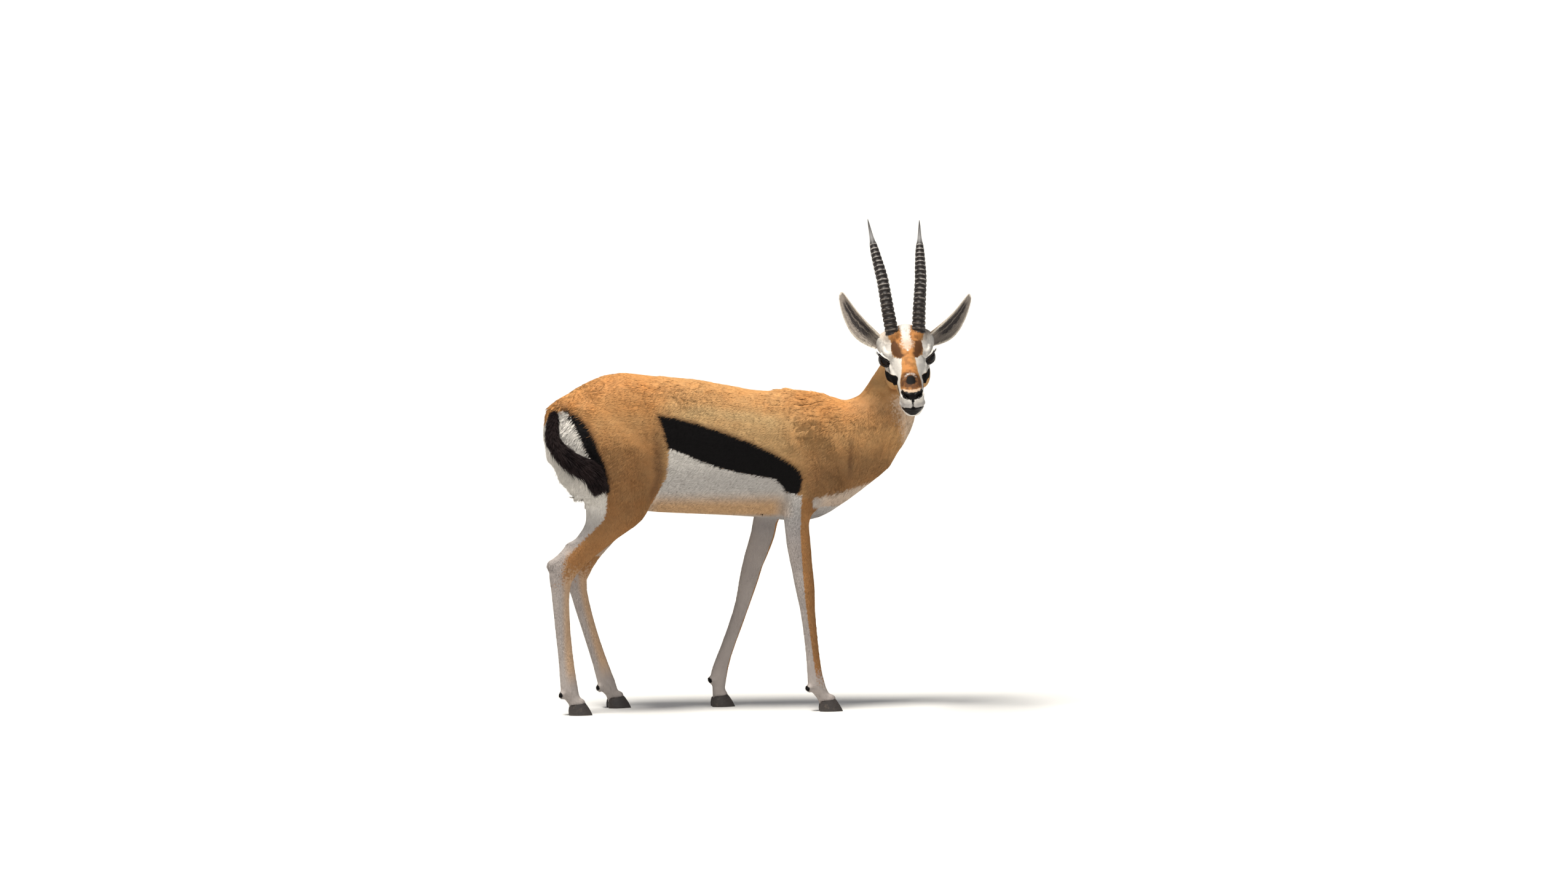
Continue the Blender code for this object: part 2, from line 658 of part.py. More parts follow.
def lid_opening(name, side, collection):
    """The almond between the lids."""
    bm = bmesh.new()
    ellipsoid(bm, (EYE_RADIUS + 0.0005, 0, 0), (0.0105, 0.0172, 0.0132), 0, 14)
    bmesh.ops.transform(bm, matrix=eye_matrix(side), verts=bm.verts)
    return add_object(name, bm, collection)


def tail_clear_of(flesh_grown, nodes):
    rows = smooth_rows(TAIL_PATH, steps=2)
    path = [Vector(row[:3]) for row in rows]
    sizes = [row[3] for row in rows]
    bm = tube_along(path, sizes, sizes, Vector((0, -1, 0.2)), sides=9)
    boolean(add_object("tail", bm, nodes), flesh_grown, "DIFFERENCE")


def hoof(name, place, turn, inner, collection, growth=0.0):
    """One claw: a flat sole, a long sloping front to a point at the toe, and a low heel."""
    bm = bmesh.new()
    rings = []
    for height, stretch in ((0.0, 1.0), (0.45, 0.90), (1.0, 0.68)):
        verts = bmesh.ops.create_circle(bm, cap_ends=False, segments=12, radius=1.0)["verts"]
        for vert in verts:
            toe = (vert.co.x + 1) / 2  # 0 at the heel, 1 at the toe
            half_width = HOOF_WIDTH / 2 * stretch * (1 - 0.45 * toe**2.2) + growth
            half_length = HOOF_LENGTH / 2 * stretch + growth
            pull = -inner * 0.003 * toe**2  # the toes lean towards each other
            x = vert.co.x * half_length - 0.26 * HOOF_LENGTH * height * 0.55 + 0.006
            z = height * HOOF_HEIGHT * (1 - 0.25 * (1 - toe)) + (growth if height == 1 else 0)
            vert.co = (x, vert.co.y * half_width + pull + inner * CLAW_SPACING, z - (growth if height == 0 else 0))
        rings.append([edge for vert in verts for edge in vert.link_edges])
    join_rings(bm, rings)
    bmesh.ops.transform(bm, matrix=Matrix.Translation(place) @ turn_about("Z", turn), verts=bm.verts)
    return add_object(name, bm, collection)


def feet(nodes, cutters):
    """Two claws under each leg, and the clearance that they need in it."""
    for name, path, _, side, _, foot_y, toe_turn in LEGS:
        shank = nodes.objects[name.replace("leg", "shank")]
        place = Vector((path[-1][0], side * foot_y, 0.0))
        for label, inner in (("inner", -side), ("outer", side)):
            claw = name.replace("leg", "hoof") + "_" + label
            hoof(claw, place, side * toe_turn, inner, nodes)
            room = hoof(f"{claw} room", place, side * toe_turn, inner, cutters, GAP)
            room.hide_render = True
            room.display_type = "WIRE"
            boolean(shank, room, "DIFFERENCE")


def grown_copy(flesh, cutters):
    """The flesh a gap larger all over, which the fitted pieces are cut back from."""
    grown = bpy.data.objects.new("flesh clearance", flesh.data.copy())
    cutters.objects.link(grown)
    grown.hide_render = True
    swell = grown.modifiers.new("swell", "DISPLACE")
    swell.strength = 1.6 * GAP
    swell.mid_level = 0.0
    grown.data = evaluated_mesh(grown, "flesh clearance")
    grown.modifiers.clear()
    return grown


# ---------------------------------------------------------------- finish
def paint(nodes):
    looks = {
        "tan": material("tan coat", COLOURS["tan"], 0.8),
        "white": material("white coat", COLOURS["white"], 0.85),
        "black": material("black coat", COLOURS["black"], 0.8),
        "horn": material("ringed horn", COLOURS["horn"], 0.4),
        "eye": material("eye", COLOURS["eye"], 0.05),
        "hoof": material("hoof", COLOURS["hoof"], 0.45),
        "ear": material("ear", COLOURS["ear"], 0.8),
    }
    for obj in nodes.objects:
        kind = obj.name.split("_")[0]
        if "hoof" in obj.name:
            look = "hoof"
        elif "shank" in obj.name:
            look = "white"
        elif kind == "tail":
            look = "black"
        else:
            look = kind if kind in looks else "tan"
        obj.data.materials.clear()
        obj.data.materials.append(looks[look])


def main():
    clear_scene()
    nodes = new_collection("gazelle")
    cutters = new_collection("cutters", hidden=True)
    flesh = whole_flesh(cutters)
    grown = grown_copy(flesh, cutters)
    for label, side in (("left", 1), ("right", -1)):
        horn(f"horn_{label}", label, side, grown, nodes)
        ear(f"ear_{label}", label, side, grown, nodes)
        eye(f"eye_{label}", side, nodes, EYE_RADIUS)
    tail_clear_of(grown, nodes)
    part_flesh(flesh, nodes, cutters)
    for label, side in (("left", 1), ("right", -1)):
        for room in (eye(f"socket {label}", side, cutters, EYE_RADIUS + GAP), lid_opening(f"lids {label}", side, cutters)):
            room.hide_render = True
            room.display_type = "WIRE"
            boolean(nodes.objects["head"], room, "DIFFERENCE")
    feet(nodes, cutters)
    stand = bpy.data.objects.new("gazelle frame", None)
    bpy.context.scene.collection.objects.link(stand)
    stand.location = SHIFT
    for obj in [*nodes.objects, *cutters.objects]:
        obj.parent = stand
    paint(nodes)


main()
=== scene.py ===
# %% [markdown]
# # A Thomson's gazelle buck, life size
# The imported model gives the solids: trunk, neck, head, legs, horns, ears, tail and hooves. This lesson
# dresses them. One living skin replaces the flesh solids, a coat of small mesh tufts grows from it, and the
# horns, ears, eyes and hooves are made again with the detail a visitor to a museum would look for.
# Everything is in metres: +X runs towards the shoulders, +Y to the animal's left and +Z up.

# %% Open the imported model
import math

import bmesh
import bpy
import numpy as np
from mathutils import Matrix, Vector


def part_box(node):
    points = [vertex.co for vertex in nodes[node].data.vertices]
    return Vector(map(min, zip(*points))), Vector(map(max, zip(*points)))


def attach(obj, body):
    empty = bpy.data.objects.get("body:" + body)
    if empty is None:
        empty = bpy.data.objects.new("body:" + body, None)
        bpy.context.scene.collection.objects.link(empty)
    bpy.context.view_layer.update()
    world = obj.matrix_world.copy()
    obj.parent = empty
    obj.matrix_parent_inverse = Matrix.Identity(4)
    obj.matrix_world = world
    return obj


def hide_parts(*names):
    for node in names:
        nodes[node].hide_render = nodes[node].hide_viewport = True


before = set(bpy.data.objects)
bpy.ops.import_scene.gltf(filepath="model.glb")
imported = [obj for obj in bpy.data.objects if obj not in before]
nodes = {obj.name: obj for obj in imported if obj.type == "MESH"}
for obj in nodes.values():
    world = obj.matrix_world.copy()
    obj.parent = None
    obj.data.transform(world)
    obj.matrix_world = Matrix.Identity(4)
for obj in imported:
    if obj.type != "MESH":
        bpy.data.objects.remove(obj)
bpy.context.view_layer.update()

# %% [markdown]
# ## The head's own frame
# The head is turned and tipped, so its shapes are easier to draw in a frame of their own: the point midway
# between the eyes is the origin, +X looks along the muzzle, +Y to the left, +Z up through the forehead.
# A matrix takes that frame to the animal's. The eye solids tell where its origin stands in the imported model.

# %% Place the head's frame
HEAD_TURN, HEAD_DROP, HEAD_ROLL = -94.0, 20.0, 3.8
DRAWN_HEAD = Vector((0.343, -0.104, 0.6945))
EYE_PLACE = Vector((0.001, 0.0365, 0.0025))
EYE_FACING = 50.0
EYE_RADIUS = 0.0155


def turned(axis, degrees):
    return Matrix.Rotation(math.radians(degrees), 4, axis)


head_turn = turned("Z", HEAD_TURN) @ turned("Y", HEAD_DROP) @ turned("X", HEAD_ROLL)
between_eyes = sum((sum(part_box(f"eye_{label}"), Vector()) / 2 for label in ("left", "right")), Vector()) / 2
head_place = between_eyes - head_turn.to_3x3() @ Vector((EYE_PLACE.x, 0, EYE_PLACE.z))
HEAD_FRAME = Matrix.Translation(head_place) @ head_turn
SHIFT = head_place - DRAWN_HEAD  # from the drawing tables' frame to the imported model's
print("drawing tables shifted by", [round(v, 4) for v in SHIFT])

# %% Small number helpers


def into(matrix, places):
    """Points, one a row, taken through the inverse of a matrix."""
    back = np.array(matrix.inverted())
    return places @ back[:3, :3].T + back[:3, 3]


def out_of(matrix, places):
    there = np.array(matrix)
    return places @ there[:3, :3].T + there[:3, 3]


def ramp(low, high, value):
    """0 below low, 1 above high, and an S between them."""
    share = np.clip((value - low) / (high - low), 0.0, 1.0)
    return share * share * (3 - 2 * share)


def hill(value, centre, reach):
    """1 at the centre, falling smoothly to 0 at the reach."""
    return np.clip(1 - ((value - centre) / reach) ** 2, 0.0, 1.0) ** 2


def unit(vectors):
    return vectors / np.maximum(np.linalg.norm(vectors, axis=1, keepdims=True), 1e-12)


def value_noise(places, size, seed):
    """Smooth noise from 0 to 1 with features about this size, the same on every run."""
    cell = places / size + 1000.0
    low = np.floor(cell).astype(np.int64)
    part = cell - low
    part = part * part * (3 - 2 * part)
    total = np.zeros(len(places))
    for corner in range(8):
        step = np.array([(corner >> k) & 1 for k in range(3)])
        at = low + step
        mixed = (at[:, 0] * 73856093) ^ (at[:, 1] * 19349663) ^ (at[:, 2] * 83492791) ^ (seed * 2654435761)
        mixed = (mixed ^ (mixed >> 13)) * 1274126177 & 0x7FFFFFFF
        value = ((mixed ^ (mixed >> 16)) & 0xFFFF) / 65535.0
        weight = np.prod(np.where(step, part, 1 - part), axis=1)
        total += weight * value
    return total


def read_vectors(items, name, width=3):
    """One kind of number of many mesh items, one item a row."""
    values = np.empty(len(items) * width, np.float32)
    items.foreach_get(name, values)
    return values.reshape(-1, width).astype(np.float64)


def store(mesh, name, values):
    """A colour attribute on the points of a mesh; four plain numbers each."""
    layer = mesh.attributes.new(name, "FLOAT_COLOR", "POINT")
    layer.data.foreach_set("color", np.ascontiguousarray(values, np.float32).ravel())


# %% [markdown]
# ## Camera, floor and light
# The camera stands 22 m off with a long lens, level with the animal's shoulders, a little in front of
# square to its right side. The floor is a plain pale sheet that reaches past the frame. One large soft
# lamp high above stands for a studio's ceiling bank, and pale surroundings fill the shade.

# %% Camera
AIM = Vector((0.0622, 0.0951, 0.5112))
CAMERA_DISTANCE = 22.0
CAMERA_AZIMUTH, CAMERA_ELEVATION = math.radians(-8.0), math.radians(5.0)
METRES_ACROSS = 2550 / 830  # what the frame's width holds at the animal
back = Vector(
    (
        math.sin(CAMERA_AZIMUTH) * math.cos(CAMERA_ELEVATION),
        -math.cos(CAMERA_AZIMUTH) * math.cos(CAMERA_ELEVATION),
        math.sin(CAMERA_ELEVATION),
    )
)
lens = bpy.data.cameras.new("long lens")
lens.sensor_width = 36.0
lens.lens = 36.0 * CAMERA_DISTANCE / METRES_ACROSS
lens.clip_end = 400.0
camera = bpy.data.objects.new("camera", lens)
bpy.context.scene.collection.objects.link(camera)
camera.location = AIM + back * CAMERA_DISTANCE
camera.rotation_mode = "QUATERNION"
camera.rotation_quaternion = (-back).to_track_quat("-Z", "Y")
bpy.context.scene.camera = camera
print("lens", round(lens.lens, 1), "mm, camera at", [round(v, 2) for v in camera.location])

# %% Floor, lamps and surroundings


def principled(name, colour, roughness):
    made = bpy.data.materials.new(name)
    made.use_nodes = True
    shader = made.node_tree.nodes["Principled BSDF"]
    shader.inputs["Base Color"].default_value = (*colour, 1.0)
    shader.inputs["Roughness"].default_value = roughness
    return made, shader


bm = bmesh.new()
bmesh.ops.create_circle(bm, cap_ends=True, segments=64, radius=170.0)
floor_mesh = bpy.data.meshes.new("studio floor")
bm.to_mesh(floor_mesh)
bm.free()
floor_paint, _ = principled("floor paint", (0.72, 0.71, 0.69), 0.9)
floor_mesh.materials.append(floor_paint)
studio_floor = bpy.data.objects.new("studio_floor", floor_mesh)
bpy.context.scene.collection.objects.link(studio_floor)


def sun(name, energy, softness, azimuth, elevation, colour):
    lamp = bpy.data.lights.new(name, "SUN")
    lamp.energy = energy
    lamp.angle = math.radians(softness)
    lamp.color = colour
    holder = bpy.data.objects.new(name, lamp)
    holder.rotation_euler = (math.radians(90 - elevation), 0, math.radians(azimuth))
    bpy.context.scene.collection.objects.link(holder)


sun("ceiling bank", 4.6, 18.0, -52.0, 70.0, (1.0, 0.965, 0.90))
sun("side bank", 0.30, 50.0, 15.0, 22.0, (0.97, 0.98, 1.0))
world = bpy.data.worlds.new("pale surroundings")
world.use_nodes = True
sky = world.node_tree.nodes["Background"]
sky.inputs["Color"].default_value = (0.92, 0.95, 1.0, 1.0)
seen = world.node_tree.nodes.new("ShaderNodeLightPath").outputs["Is Camera Ray"]
pale = world.node_tree.nodes.new("ShaderNodeMapRange")
pale.inputs["To Min"].default_value, pale.inputs["To Max"].default_value = 0.30, 0.85
world.node_tree.links.new(seen, pale.inputs["Value"])
world.node_tree.links.new(pale.outputs["Result"], sky.inputs["Strength"])
bpy.context.scene.world = world
bpy.context.scene.view_settings.view_transform = "Standard"

# %% [markdown]
# ## Loft helpers
# Most of a body is a loft: rings of points along a line, bridged in turn and closed at both ends.
# The same few helpers make the head's shell, the horns, the tail's core and the rims of the eyelids.

# %% Rings, lofts and balls


def spline(before, start, end, after, t):
    """The Catmull-Rom value a share t of the way from start to end."""
    slope = (end - before) * t
    bend = (2 * before - 5 * start + 4 * end - after) * t * t
    twist = (3 * start - before - 3 * end + after) * t**3
    return 0.5 * (2 * start + slope + bend + twist)


def smooth_rows(rows, steps=5):
    """A table of plain numbers with smooth rows put in between its own."""
    padded = [rows[0], *rows, rows[-1]]
    made = []
    for four in zip(padded, padded[1:], padded[2:], padded[3:]):
        for step in range(steps):
            made.append(tuple(spline(*values, step / steps) for values in zip(*four)))
    made.append(tuple(rows[-1]))
    return made


def edges_within(verts):
    """Each edge with both its ends among these points, once."""
    ring = set(verts)
    return list({edge for vert in verts for edge in vert.link_edges if edge.other_vert(vert) in ring})


def add_ring(bm, centre, side, up, half_width, reach_up, reach_down, square=2.0, sides=36):
    """An oval of points; a square over 2 fills its corners. Gives back its edges."""
    verts = bmesh.ops.create_circle(bm, cap_ends=False, segments=sides, radius=1.0)["verts"]
    power = 2.0 / square
    for vert in verts:
        across = math.copysign(abs(vert.co.x) ** power, vert.co.x)
        rise = math.copysign(abs(vert.co.y) ** power, vert.co.y)
        reach = reach_up if rise > 0 else reach_down
        vert.co = centre + side * (across * half_width) + up * (rise * reach)
    return edges_within(verts)


def join_rings(bm, rings, closed=False):
    """Bridge each ring to the next, and close both ends or join the last ring to the first."""
    pairs = list(zip(rings, rings[1:])) + ([(rings[-1], rings[0])] if closed else [])
    for first, second in pairs:
        bmesh.ops.bridge_loops(bm, edges=first + second)
    if not closed:
        bmesh.ops.holes_fill(bm, edges=[edge for edge in bm.edges if edge.is_boundary], sides=0)
    bmesh.ops.recalc_face_normals(bm, faces=bm.faces)


def tube_along(path, depths, widths, ahead, sides=16, closed=False):
    bm = bmesh.new()
    rings = []
    count = len(path)
    for n, (place, depth, width) in enumerate(zip(path, depths, widths)):
        after = path[(n + 1) % count] if closed else path[min(n + 1, count - 1)]
        before = path[n - 1] if closed else path[max(n - 1, 0)]
        along = (after - before).normalized()
        side = along.cross(ahead).normalized()
        up = side.cross(along)
        rings.append(add_ring(bm, place, side, up, width / 2, depth / 2, depth / 2, sides=sides))
    join_rings(bm, rings, closed)
    return bm


def ball(bm, centre, half_sizes, tilt=0.0, segments=32):
    matrix = Matrix.Translation(centre) @ turned("Y", tilt) @ Matrix.Diagonal((*half_sizes, 1.0))
    bmesh.ops.create_uvsphere(bm, u_segments=segments, v_segments=segments // 2, radius=1.0, matrix=matrix)


def between(table, share):
    """The value of a two-column table at this share, in straight lines between its rows."""
    return float(np.interp(share, [row[0] for row in table], [row[1] for row in table]))


def piece_of(name, mesh, material, replaced=()):
    """Links a finished mesh, lets it ride on the body and hides the solids it stands for."""
    mesh.materials.clear()
    mesh.materials.append(material)
    mesh.shade_smooth()
    made = bpy.data.objects.new(name, mesh)
    bpy.context.scene.collection.objects.link(made)
    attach(made, "root")
    if replaced:
        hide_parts(*replaced)
    return made


def mesh_of(name, bm):
    mesh = bpy.data.meshes.new(name)
    bm.to_mesh(mesh)
    bm.free()
    return mesh


# %% [markdown]
# ## The head's shell
# A gazelle's head is a wedge: a deep round braincase, cheeks that fall away below the eyes, and a narrow
# muzzle with full lips. A loft of sections gives the wedge, and balls laid over it give the orbits, cheeks,
# nostrils, lips, horn roots and ear roots. The voxel step that comes next melts them together.

# %% Draw the head's sections and masses
HEAD_SECTIONS = (  # x, top, bottom, half width, height of the widest line, squareness
    (-0.074, 0.010, -0.034, 0.020, 0.50, 2.0),
    (-0.060, 0.031, -0.050, 0.035, 0.52, 2.0),
    (-0.036, 0.044, -0.061, 0.0445, 0.55, 2.1),
    (-0.008, 0.0465, -0.065, 0.0460, 0.58, 2.2),
    (0.018, 0.0400, -0.065, 0.0415, 0.54, 2.1),
    (0.042, 0.0270, -0.063, 0.0335, 0.50, 2.0),
    (0.066, 0.0160, -0.0625, 0.0275, 0.46, 2.05),
    (0.090, 0.0070, -0.0635, 0.0245, 0.46, 2.2),
    (0.108, 0.0000, -0.0660, 0.0245, 0.47, 2.35),
    (0.124, -0.0070, -0.0660, 0.0232, 0.50, 2.4),
    (0.135, -0.0150, -0.0600, 0.0180, 0.52, 2.3),
    (0.141, -0.0260, -0.0500, 0.0085, 0.50, 2.0),
)
FACE_MASSES = (  # what it is, centre, half sizes, tilt
    ("orbit", (-0.004, 0.0360, 0.0050), (0.0240, 0.0170, 0.0215), 12),
    ("cheek", (-0.010, 0.0270, -0.0360), (0.0380, 0.0185, 0.0270), 14),
    ("face ridge", (0.040, 0.0230, -0.0180), (0.0340, 0.0130, 0.0150), 16),
    ("nostril", (0.1250, 0.0120, -0.0250), (0.0150, 0.0115, 0.0125), 28),
    ("upper lip", (0.1150, 0.0130, -0.0420), (0.0230, 0.0125, 0.0105), 6),
    ("lower lip", (0.1130, 0.0000, -0.0590), (0.0230, 0.0180, 0.0100), 4),
    ("horn root", (-0.016, 0.0245, 0.0400), (0.0210, 0.0170, 0.0150), 0),
    ("crown", (-0.044, 0.0000, 0.0330), (0.0260, 0.0300, 0.0200), -20),
    ("ear base", (-0.042, 0.0400, 0.0180), (0.0240, 0.0195, 0.0250), 0),
)


def head_shell():
    bm = bmesh.new()
    rings = []
    for x, top, bottom, half_width, widest, square in smooth_rows(HEAD_SECTIONS):
        middle = bottom + (top - bottom) * widest
        rings.append(
            add_ring(
                bm, Vector((x, 0, middle)), Vector((0, 1, 0)), Vector((0, 0, 1)),
                half_width, top - middle, middle - bottom, square,
            )
        )
    join_rings(bm, rings)
    for _, centre, half_sizes, tilt in FACE_MASSES:
        for side in (1, -1) if centre[1] else (1,):
            ball(bm, (centre[0], side * centre[1], centre[2]), half_sizes, tilt)
    bmesh.ops.transform(bm, matrix=HEAD_FRAME, verts=bm.verts)
    return bm


# %% [markdown]
# ## One skin
# The flesh solids are cut apart for the workshop, but a living animal is one surface. Copies of them are
# swelled by a hair so that they overlap, fused by voxels, and smoothed: the trunk much, the thin legs and
# the face little. The face keeps every small face for the modelling to come, and the rest is thinned out.

# %% Fuse the flesh
LEGS = ("fore_leg_left", "fore_leg_right", "hind_leg_left", "hind_leg_right")
SHANKS = tuple(name.replace("leg", "shank") for name in LEGS)
FLESH = ("trunk", "neck", "head", *LEGS, *SHANKS)
VOXEL = 0.0018
SKIN_TRIANGLES = 185_000
OVERLAP = 0.00035
HEAD_SHRINK = -0.0008  # the drawn head lies over the solid one


def copy_of_node(name, swell):
    bm = bmesh.new()
    bm.from_mesh(nodes[name].data)
    bmesh.ops.remove_doubles(bm, verts=bm.verts, dist=2e-5)
    bm.normal_update()
    for vert in bm.verts:
        vert.co += vert.normal * swell
    return bm


def applied(obj, name):
    bpy.context.view_layer.update()
    mesh = bpy.data.meshes.new_from_object(obj.evaluated_get(bpy.context.evaluated_depsgraph_get()))
    mesh.name = name
    return mesh


joined = bmesh.new()
shells = [head_shell()] + [copy_of_node(name, HEAD_SHRINK if name == "head" else OVERLAP) for name in FLESH]
for shell in shells:
    temporary = mesh_of("shell", shell)
    joined.from_mesh(temporary)
    bpy.data.meshes.remove(temporary)
feet = []
for name in SHANKS:
    claws = [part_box(name.replace("shank", "hoof") + end) for end in ("_inner", "_outer")]
    middle = sum((a + b for a, b in claws), Vector()) / 4
    top = max(b.z for _, b in claws)
    feet.append((name, middle, top))
    ball(joined, (middle.x - 0.004, middle.y, top), (0.0135, 0.0125, 0.0105))
skin_work = bpy.data.objects.new("skin work", mesh_of("flesh", joined))
bpy.context.scene.collection.objects.link(skin_work)
remesh = skin_work.modifiers.new("fuse", "REMESH")
remesh.mode = "VOXEL"
remesh.voxel_size = VOXEL
skin_work.data = applied(skin_work, "fused")
skin_work.modifiers.clear()
print("fused skin:", len(skin_work.data.polygons), "faces")

# %% Smooth it and thin it out
mesh = skin_work.data
places = read_vectors(mesh.vertices, "co")
in_head = into(HEAD_FRAME, places)
on_head = (
    ramp(-0.075, -0.055, in_head[:, 0])
    * ramp(-0.095, -0.080, in_head[:, 2])
    * ramp(-0.095, -0.085, -np.abs(in_head[:, 1]))
    * (in_head[:, 2] < 0.09)
)
thin_leg = 1 - ramp(0.30, 0.42, places[:, 2])
softness = 1 - 0.93 * on_head
softness = np.minimum(softness, 1 - 0.80 * thin_leg)
detail = np.clip(np.maximum(0.97 * on_head, 0.18 * thin_leg), 0, 0.97)
soft_group = skin_work.vertex_groups.new(name="soft")
detail_group = skin_work.vertex_groups.new(name="detail")
for group, weights in ((soft_group, softness), (detail_group, detail)):
    steps = np.round(weights * 20) / 20
    for level in np.unique(steps):
        group.add(np.flatnonzero(steps == level).tolist(), float(level), "REPLACE")
blend = skin_work.modifiers.new("soften", "SMOOTH")
blend.factor = 0.6
blend.iterations = 60
blend.vertex_group = "soft"
thin = skin_work.modifiers.new("thin out", "DECIMATE")
thin.ratio = SKIN_TRIANGLES / (2 * len(mesh.polygons))
thin.vertex_group = "detail"
thin.invert_vertex_group = True
thin.vertex_group_factor = 2e-5
thin.use_collapse_triangulate = True
skin_mesh = applied(skin_work, "skin")
bpy.data.objects.remove(skin_work)
print("skin:", len(skin_mesh.polygons), "triangles")

# %% [markdown]
# ## Modelling the skin
# The solids reach out to the tips of the coat, so the skin is drawn in by the coat's depth, most on the
# rump and least on the face and shanks. The nape is smoothed into the back of the head, where the turned
# neck meets it. Then the face is modelled as a sculptor would: lids wrapped round the eyeballs, nostrils
# cut in, the lips parted. Every move is a formula in the head's own frame.

# %% Draw the skin in by the coat's depth
places = read_vectors(skin_mesh.vertices, "co")
normals = read_vectors(skin_mesh.vertex_normals, "vector")


def head_share(places):
    """1 on the head, 0 on the neck and the trunk."""
    local = into(HEAD_FRAME, places)
    return (
        ramp(-0.080, -0.050, local[:, 0])
        * ramp(-0.090, -0.070, local[:, 2])
        * ramp(-0.095, -0.075, -np.abs(local[:, 1]))
        * ramp(-0.12, -0.10, -local[:, 2])
    )


def coat_depth(places):
    """How far the skin lies under the tips of the coat: 3 mm, 5 at the rump, about 1 on face and shanks."""
    drawn = places - np.array(SHIFT)
    deep = 0.0030 + 0.0022 * ramp(-0.27, -0.33, drawn[:, 0]) * ramp(0.36, 0.42, drawn[:, 2])
    deep = 0.0008 + (deep - 0.0008) * ramp(0.30, 0.46, drawn[:, 2])
    return deep + (0.0009 - deep) * head_share(places)


places -= normals * coat_depth(places)[:, None]
drawn = places - np.array(SHIFT)
BUTTOCK_TUCK = (  # height, how far forward the right and the left buttock are drawn
    (0.40, 0, 0.003), (0.42, 0.002, 0.028), (0.435, 0.017, 0.033), (0.45, 0.018, 0.031),
    (0.465, 0.0125, 0.026), (0.48, 0.013, 0.019), (0.50, 0.010, 0.010), (0.52, 0.009, 0.009),
    (0.545, 0.006, 0.006), (0.57, 0.006, 0.006), (0.60, 0, 0),
)
heights, *tucks = zip(*BUTTOCK_TUCK)
right_tuck, left_tuck = (np.interp(drawn[:, 2], heights, row) for row in tucks)
left_share = ramp(-0.02, 0.02, drawn[:, 1])
tuck = right_tuck + (left_tuck - right_tuck) * left_share
places[:, 0] += tuck * ramp(-0.22, -0.31, drawn[:, 0])
NAPE_FULLNESS = 0.0065
nape = hill(drawn[:, 2], 0.655, 0.050) * ramp(0.34, 0.32, drawn[:, 0]) * (drawn[:, 0] > 0.2)
nape *= ramp(0.1, 0.6, -normals[:, 0])
places += normals * (NAPE_FULLNESS * nape * (1 - head_share(places)))[:, None]

# %% Smooth the brow into the ear's root and the nape into the poll
links = read_vectors(skin_mesh.edges, "vertices", 2).astype(int)
meeting = np.bincount(links.ravel(), minlength=len(places))[:, None]
NAPE_CORNER = Vector((0.268, 0.064, 0.696))  # where the turned neck meets the back of the head


def settle(places, share, turns):
    """Draw each point towards the mean of its neighbours again and again, by its share."""
    places = places.copy()
    for _ in range(turns):
        total = np.zeros_like(places)
        for axis in range(3):
            total[:, axis] = np.bincount(links[:, 0], places[links[:, 1], axis], len(places))
            total[:, axis] += np.bincount(links[:, 1], places[links[:, 0], axis], len(places))
        places += 0.55 * share * (total / meeting - places)
    return places


local = into(HEAD_FRAME, places)
beside = ramp(0.020, 0.030, np.abs(local[:, 1]))
calm = hill(local[:, 0], -0.026, 0.044) * hill(local[:, 2], 0.030, 0.040) * beside
calm = (np.clip(2.0 * calm, 0, 1) * head_share(places))[:, None]
places = settle(places, calm, 170) + 0.0022 * calm * normals  # settling takes some away, so it is put back
poll = HEAD_FRAME @ Vector((-0.072, 0.0, -0.004))
gap = np.linalg.norm(places - np.array((NAPE_CORNER + poll) / 2), axis=1)
calm = np.clip(1.5 - 1.5 * gap / 0.115, 0, 1) * ramp(-0.030, -0.050, local[:, 0])
places = settle(places, calm[:, None], 300) + (0.0024 * calm * (1 - head_share(places)))[:, None] * normals

# %% Model the face
local = into(HEAD_FRAME, places)
x, y, z = local[:, 0], np.abs(local[:, 1]), local[:, 2]
on_face = head_share(places) > 0.5
push = np.zeros(len(places))  # along the skin's own normal


def reach_of(points, chain):
    """Distance from a chain of straight lines, and how far along it the nearest place is."""
    chain = np.array(chain, float)
    nearest = np.full(len(points), 1e9)
    share = np.zeros(len(points))
    for n in range(len(chain) - 1):
        first, step = chain[n], chain[n + 1] - chain[n]
        part = np.clip((points - first) @ step / (step @ step), 0, 1)
        gap = np.linalg.norm(points - first - part[:, None] * step, axis=1)
        closer = gap < nearest
        nearest = np.where(closer, gap, nearest)
        share = np.where(closer, (n + part) / (len(chain) - 1), share)
    return nearest, share


def mound(centre, reach):
    """1 at a place on both sides of the face, falling to 0 at the reach."""
    return hill(np.linalg.norm(folded - centre, axis=1), 0, reach)


folded = np.column_stack((x, y, z))
NOSTRIL = ((0.1215, 0.0215, -0.0155), (0.1300, 0.0180, -0.0165), (0.1365, 0.0110, -0.0195))
MOUTH = (
    (0.1390, 0.0, -0.0418), (0.1350, 0.0150, -0.0428), (0.1280, 0.0215, -0.0450), (0.1080, 0.0255, -0.0490),
    (0.0850, 0.0262, -0.0520),
)
BEFORE_EYE = ((0.009, 0.043, -0.014), (0.014, 0.041, -0.021))
MOUNDS = (  # what it is, how high, centre, reach
    ("side of the nose bridge", 0.0010, (0.030, 0.036, -0.008), 0.014),
    ("the jaw is slimmer than the cheek", -0.0026, (0.026, 0.037, -0.047), 0.018),
    ("temple", -0.0012, (-0.032, 0.046, -0.008), 0.013),
    ("under the white patch", 0.0012, (0.050, 0.031, -0.012), 0.016),
    ("behind the nostril", -0.0010, (0.105, 0.024, -0.030), 0.012),
)
gap, along = reach_of(folded, NOSTRIL)
push -= 0.0052 * ramp(0.0034, 0.0012, gap)  # the nostril's slit
push += 0.0011 * hill(gap, 0.0058, 0.0032) * (z > -0.024)  # its raised rim
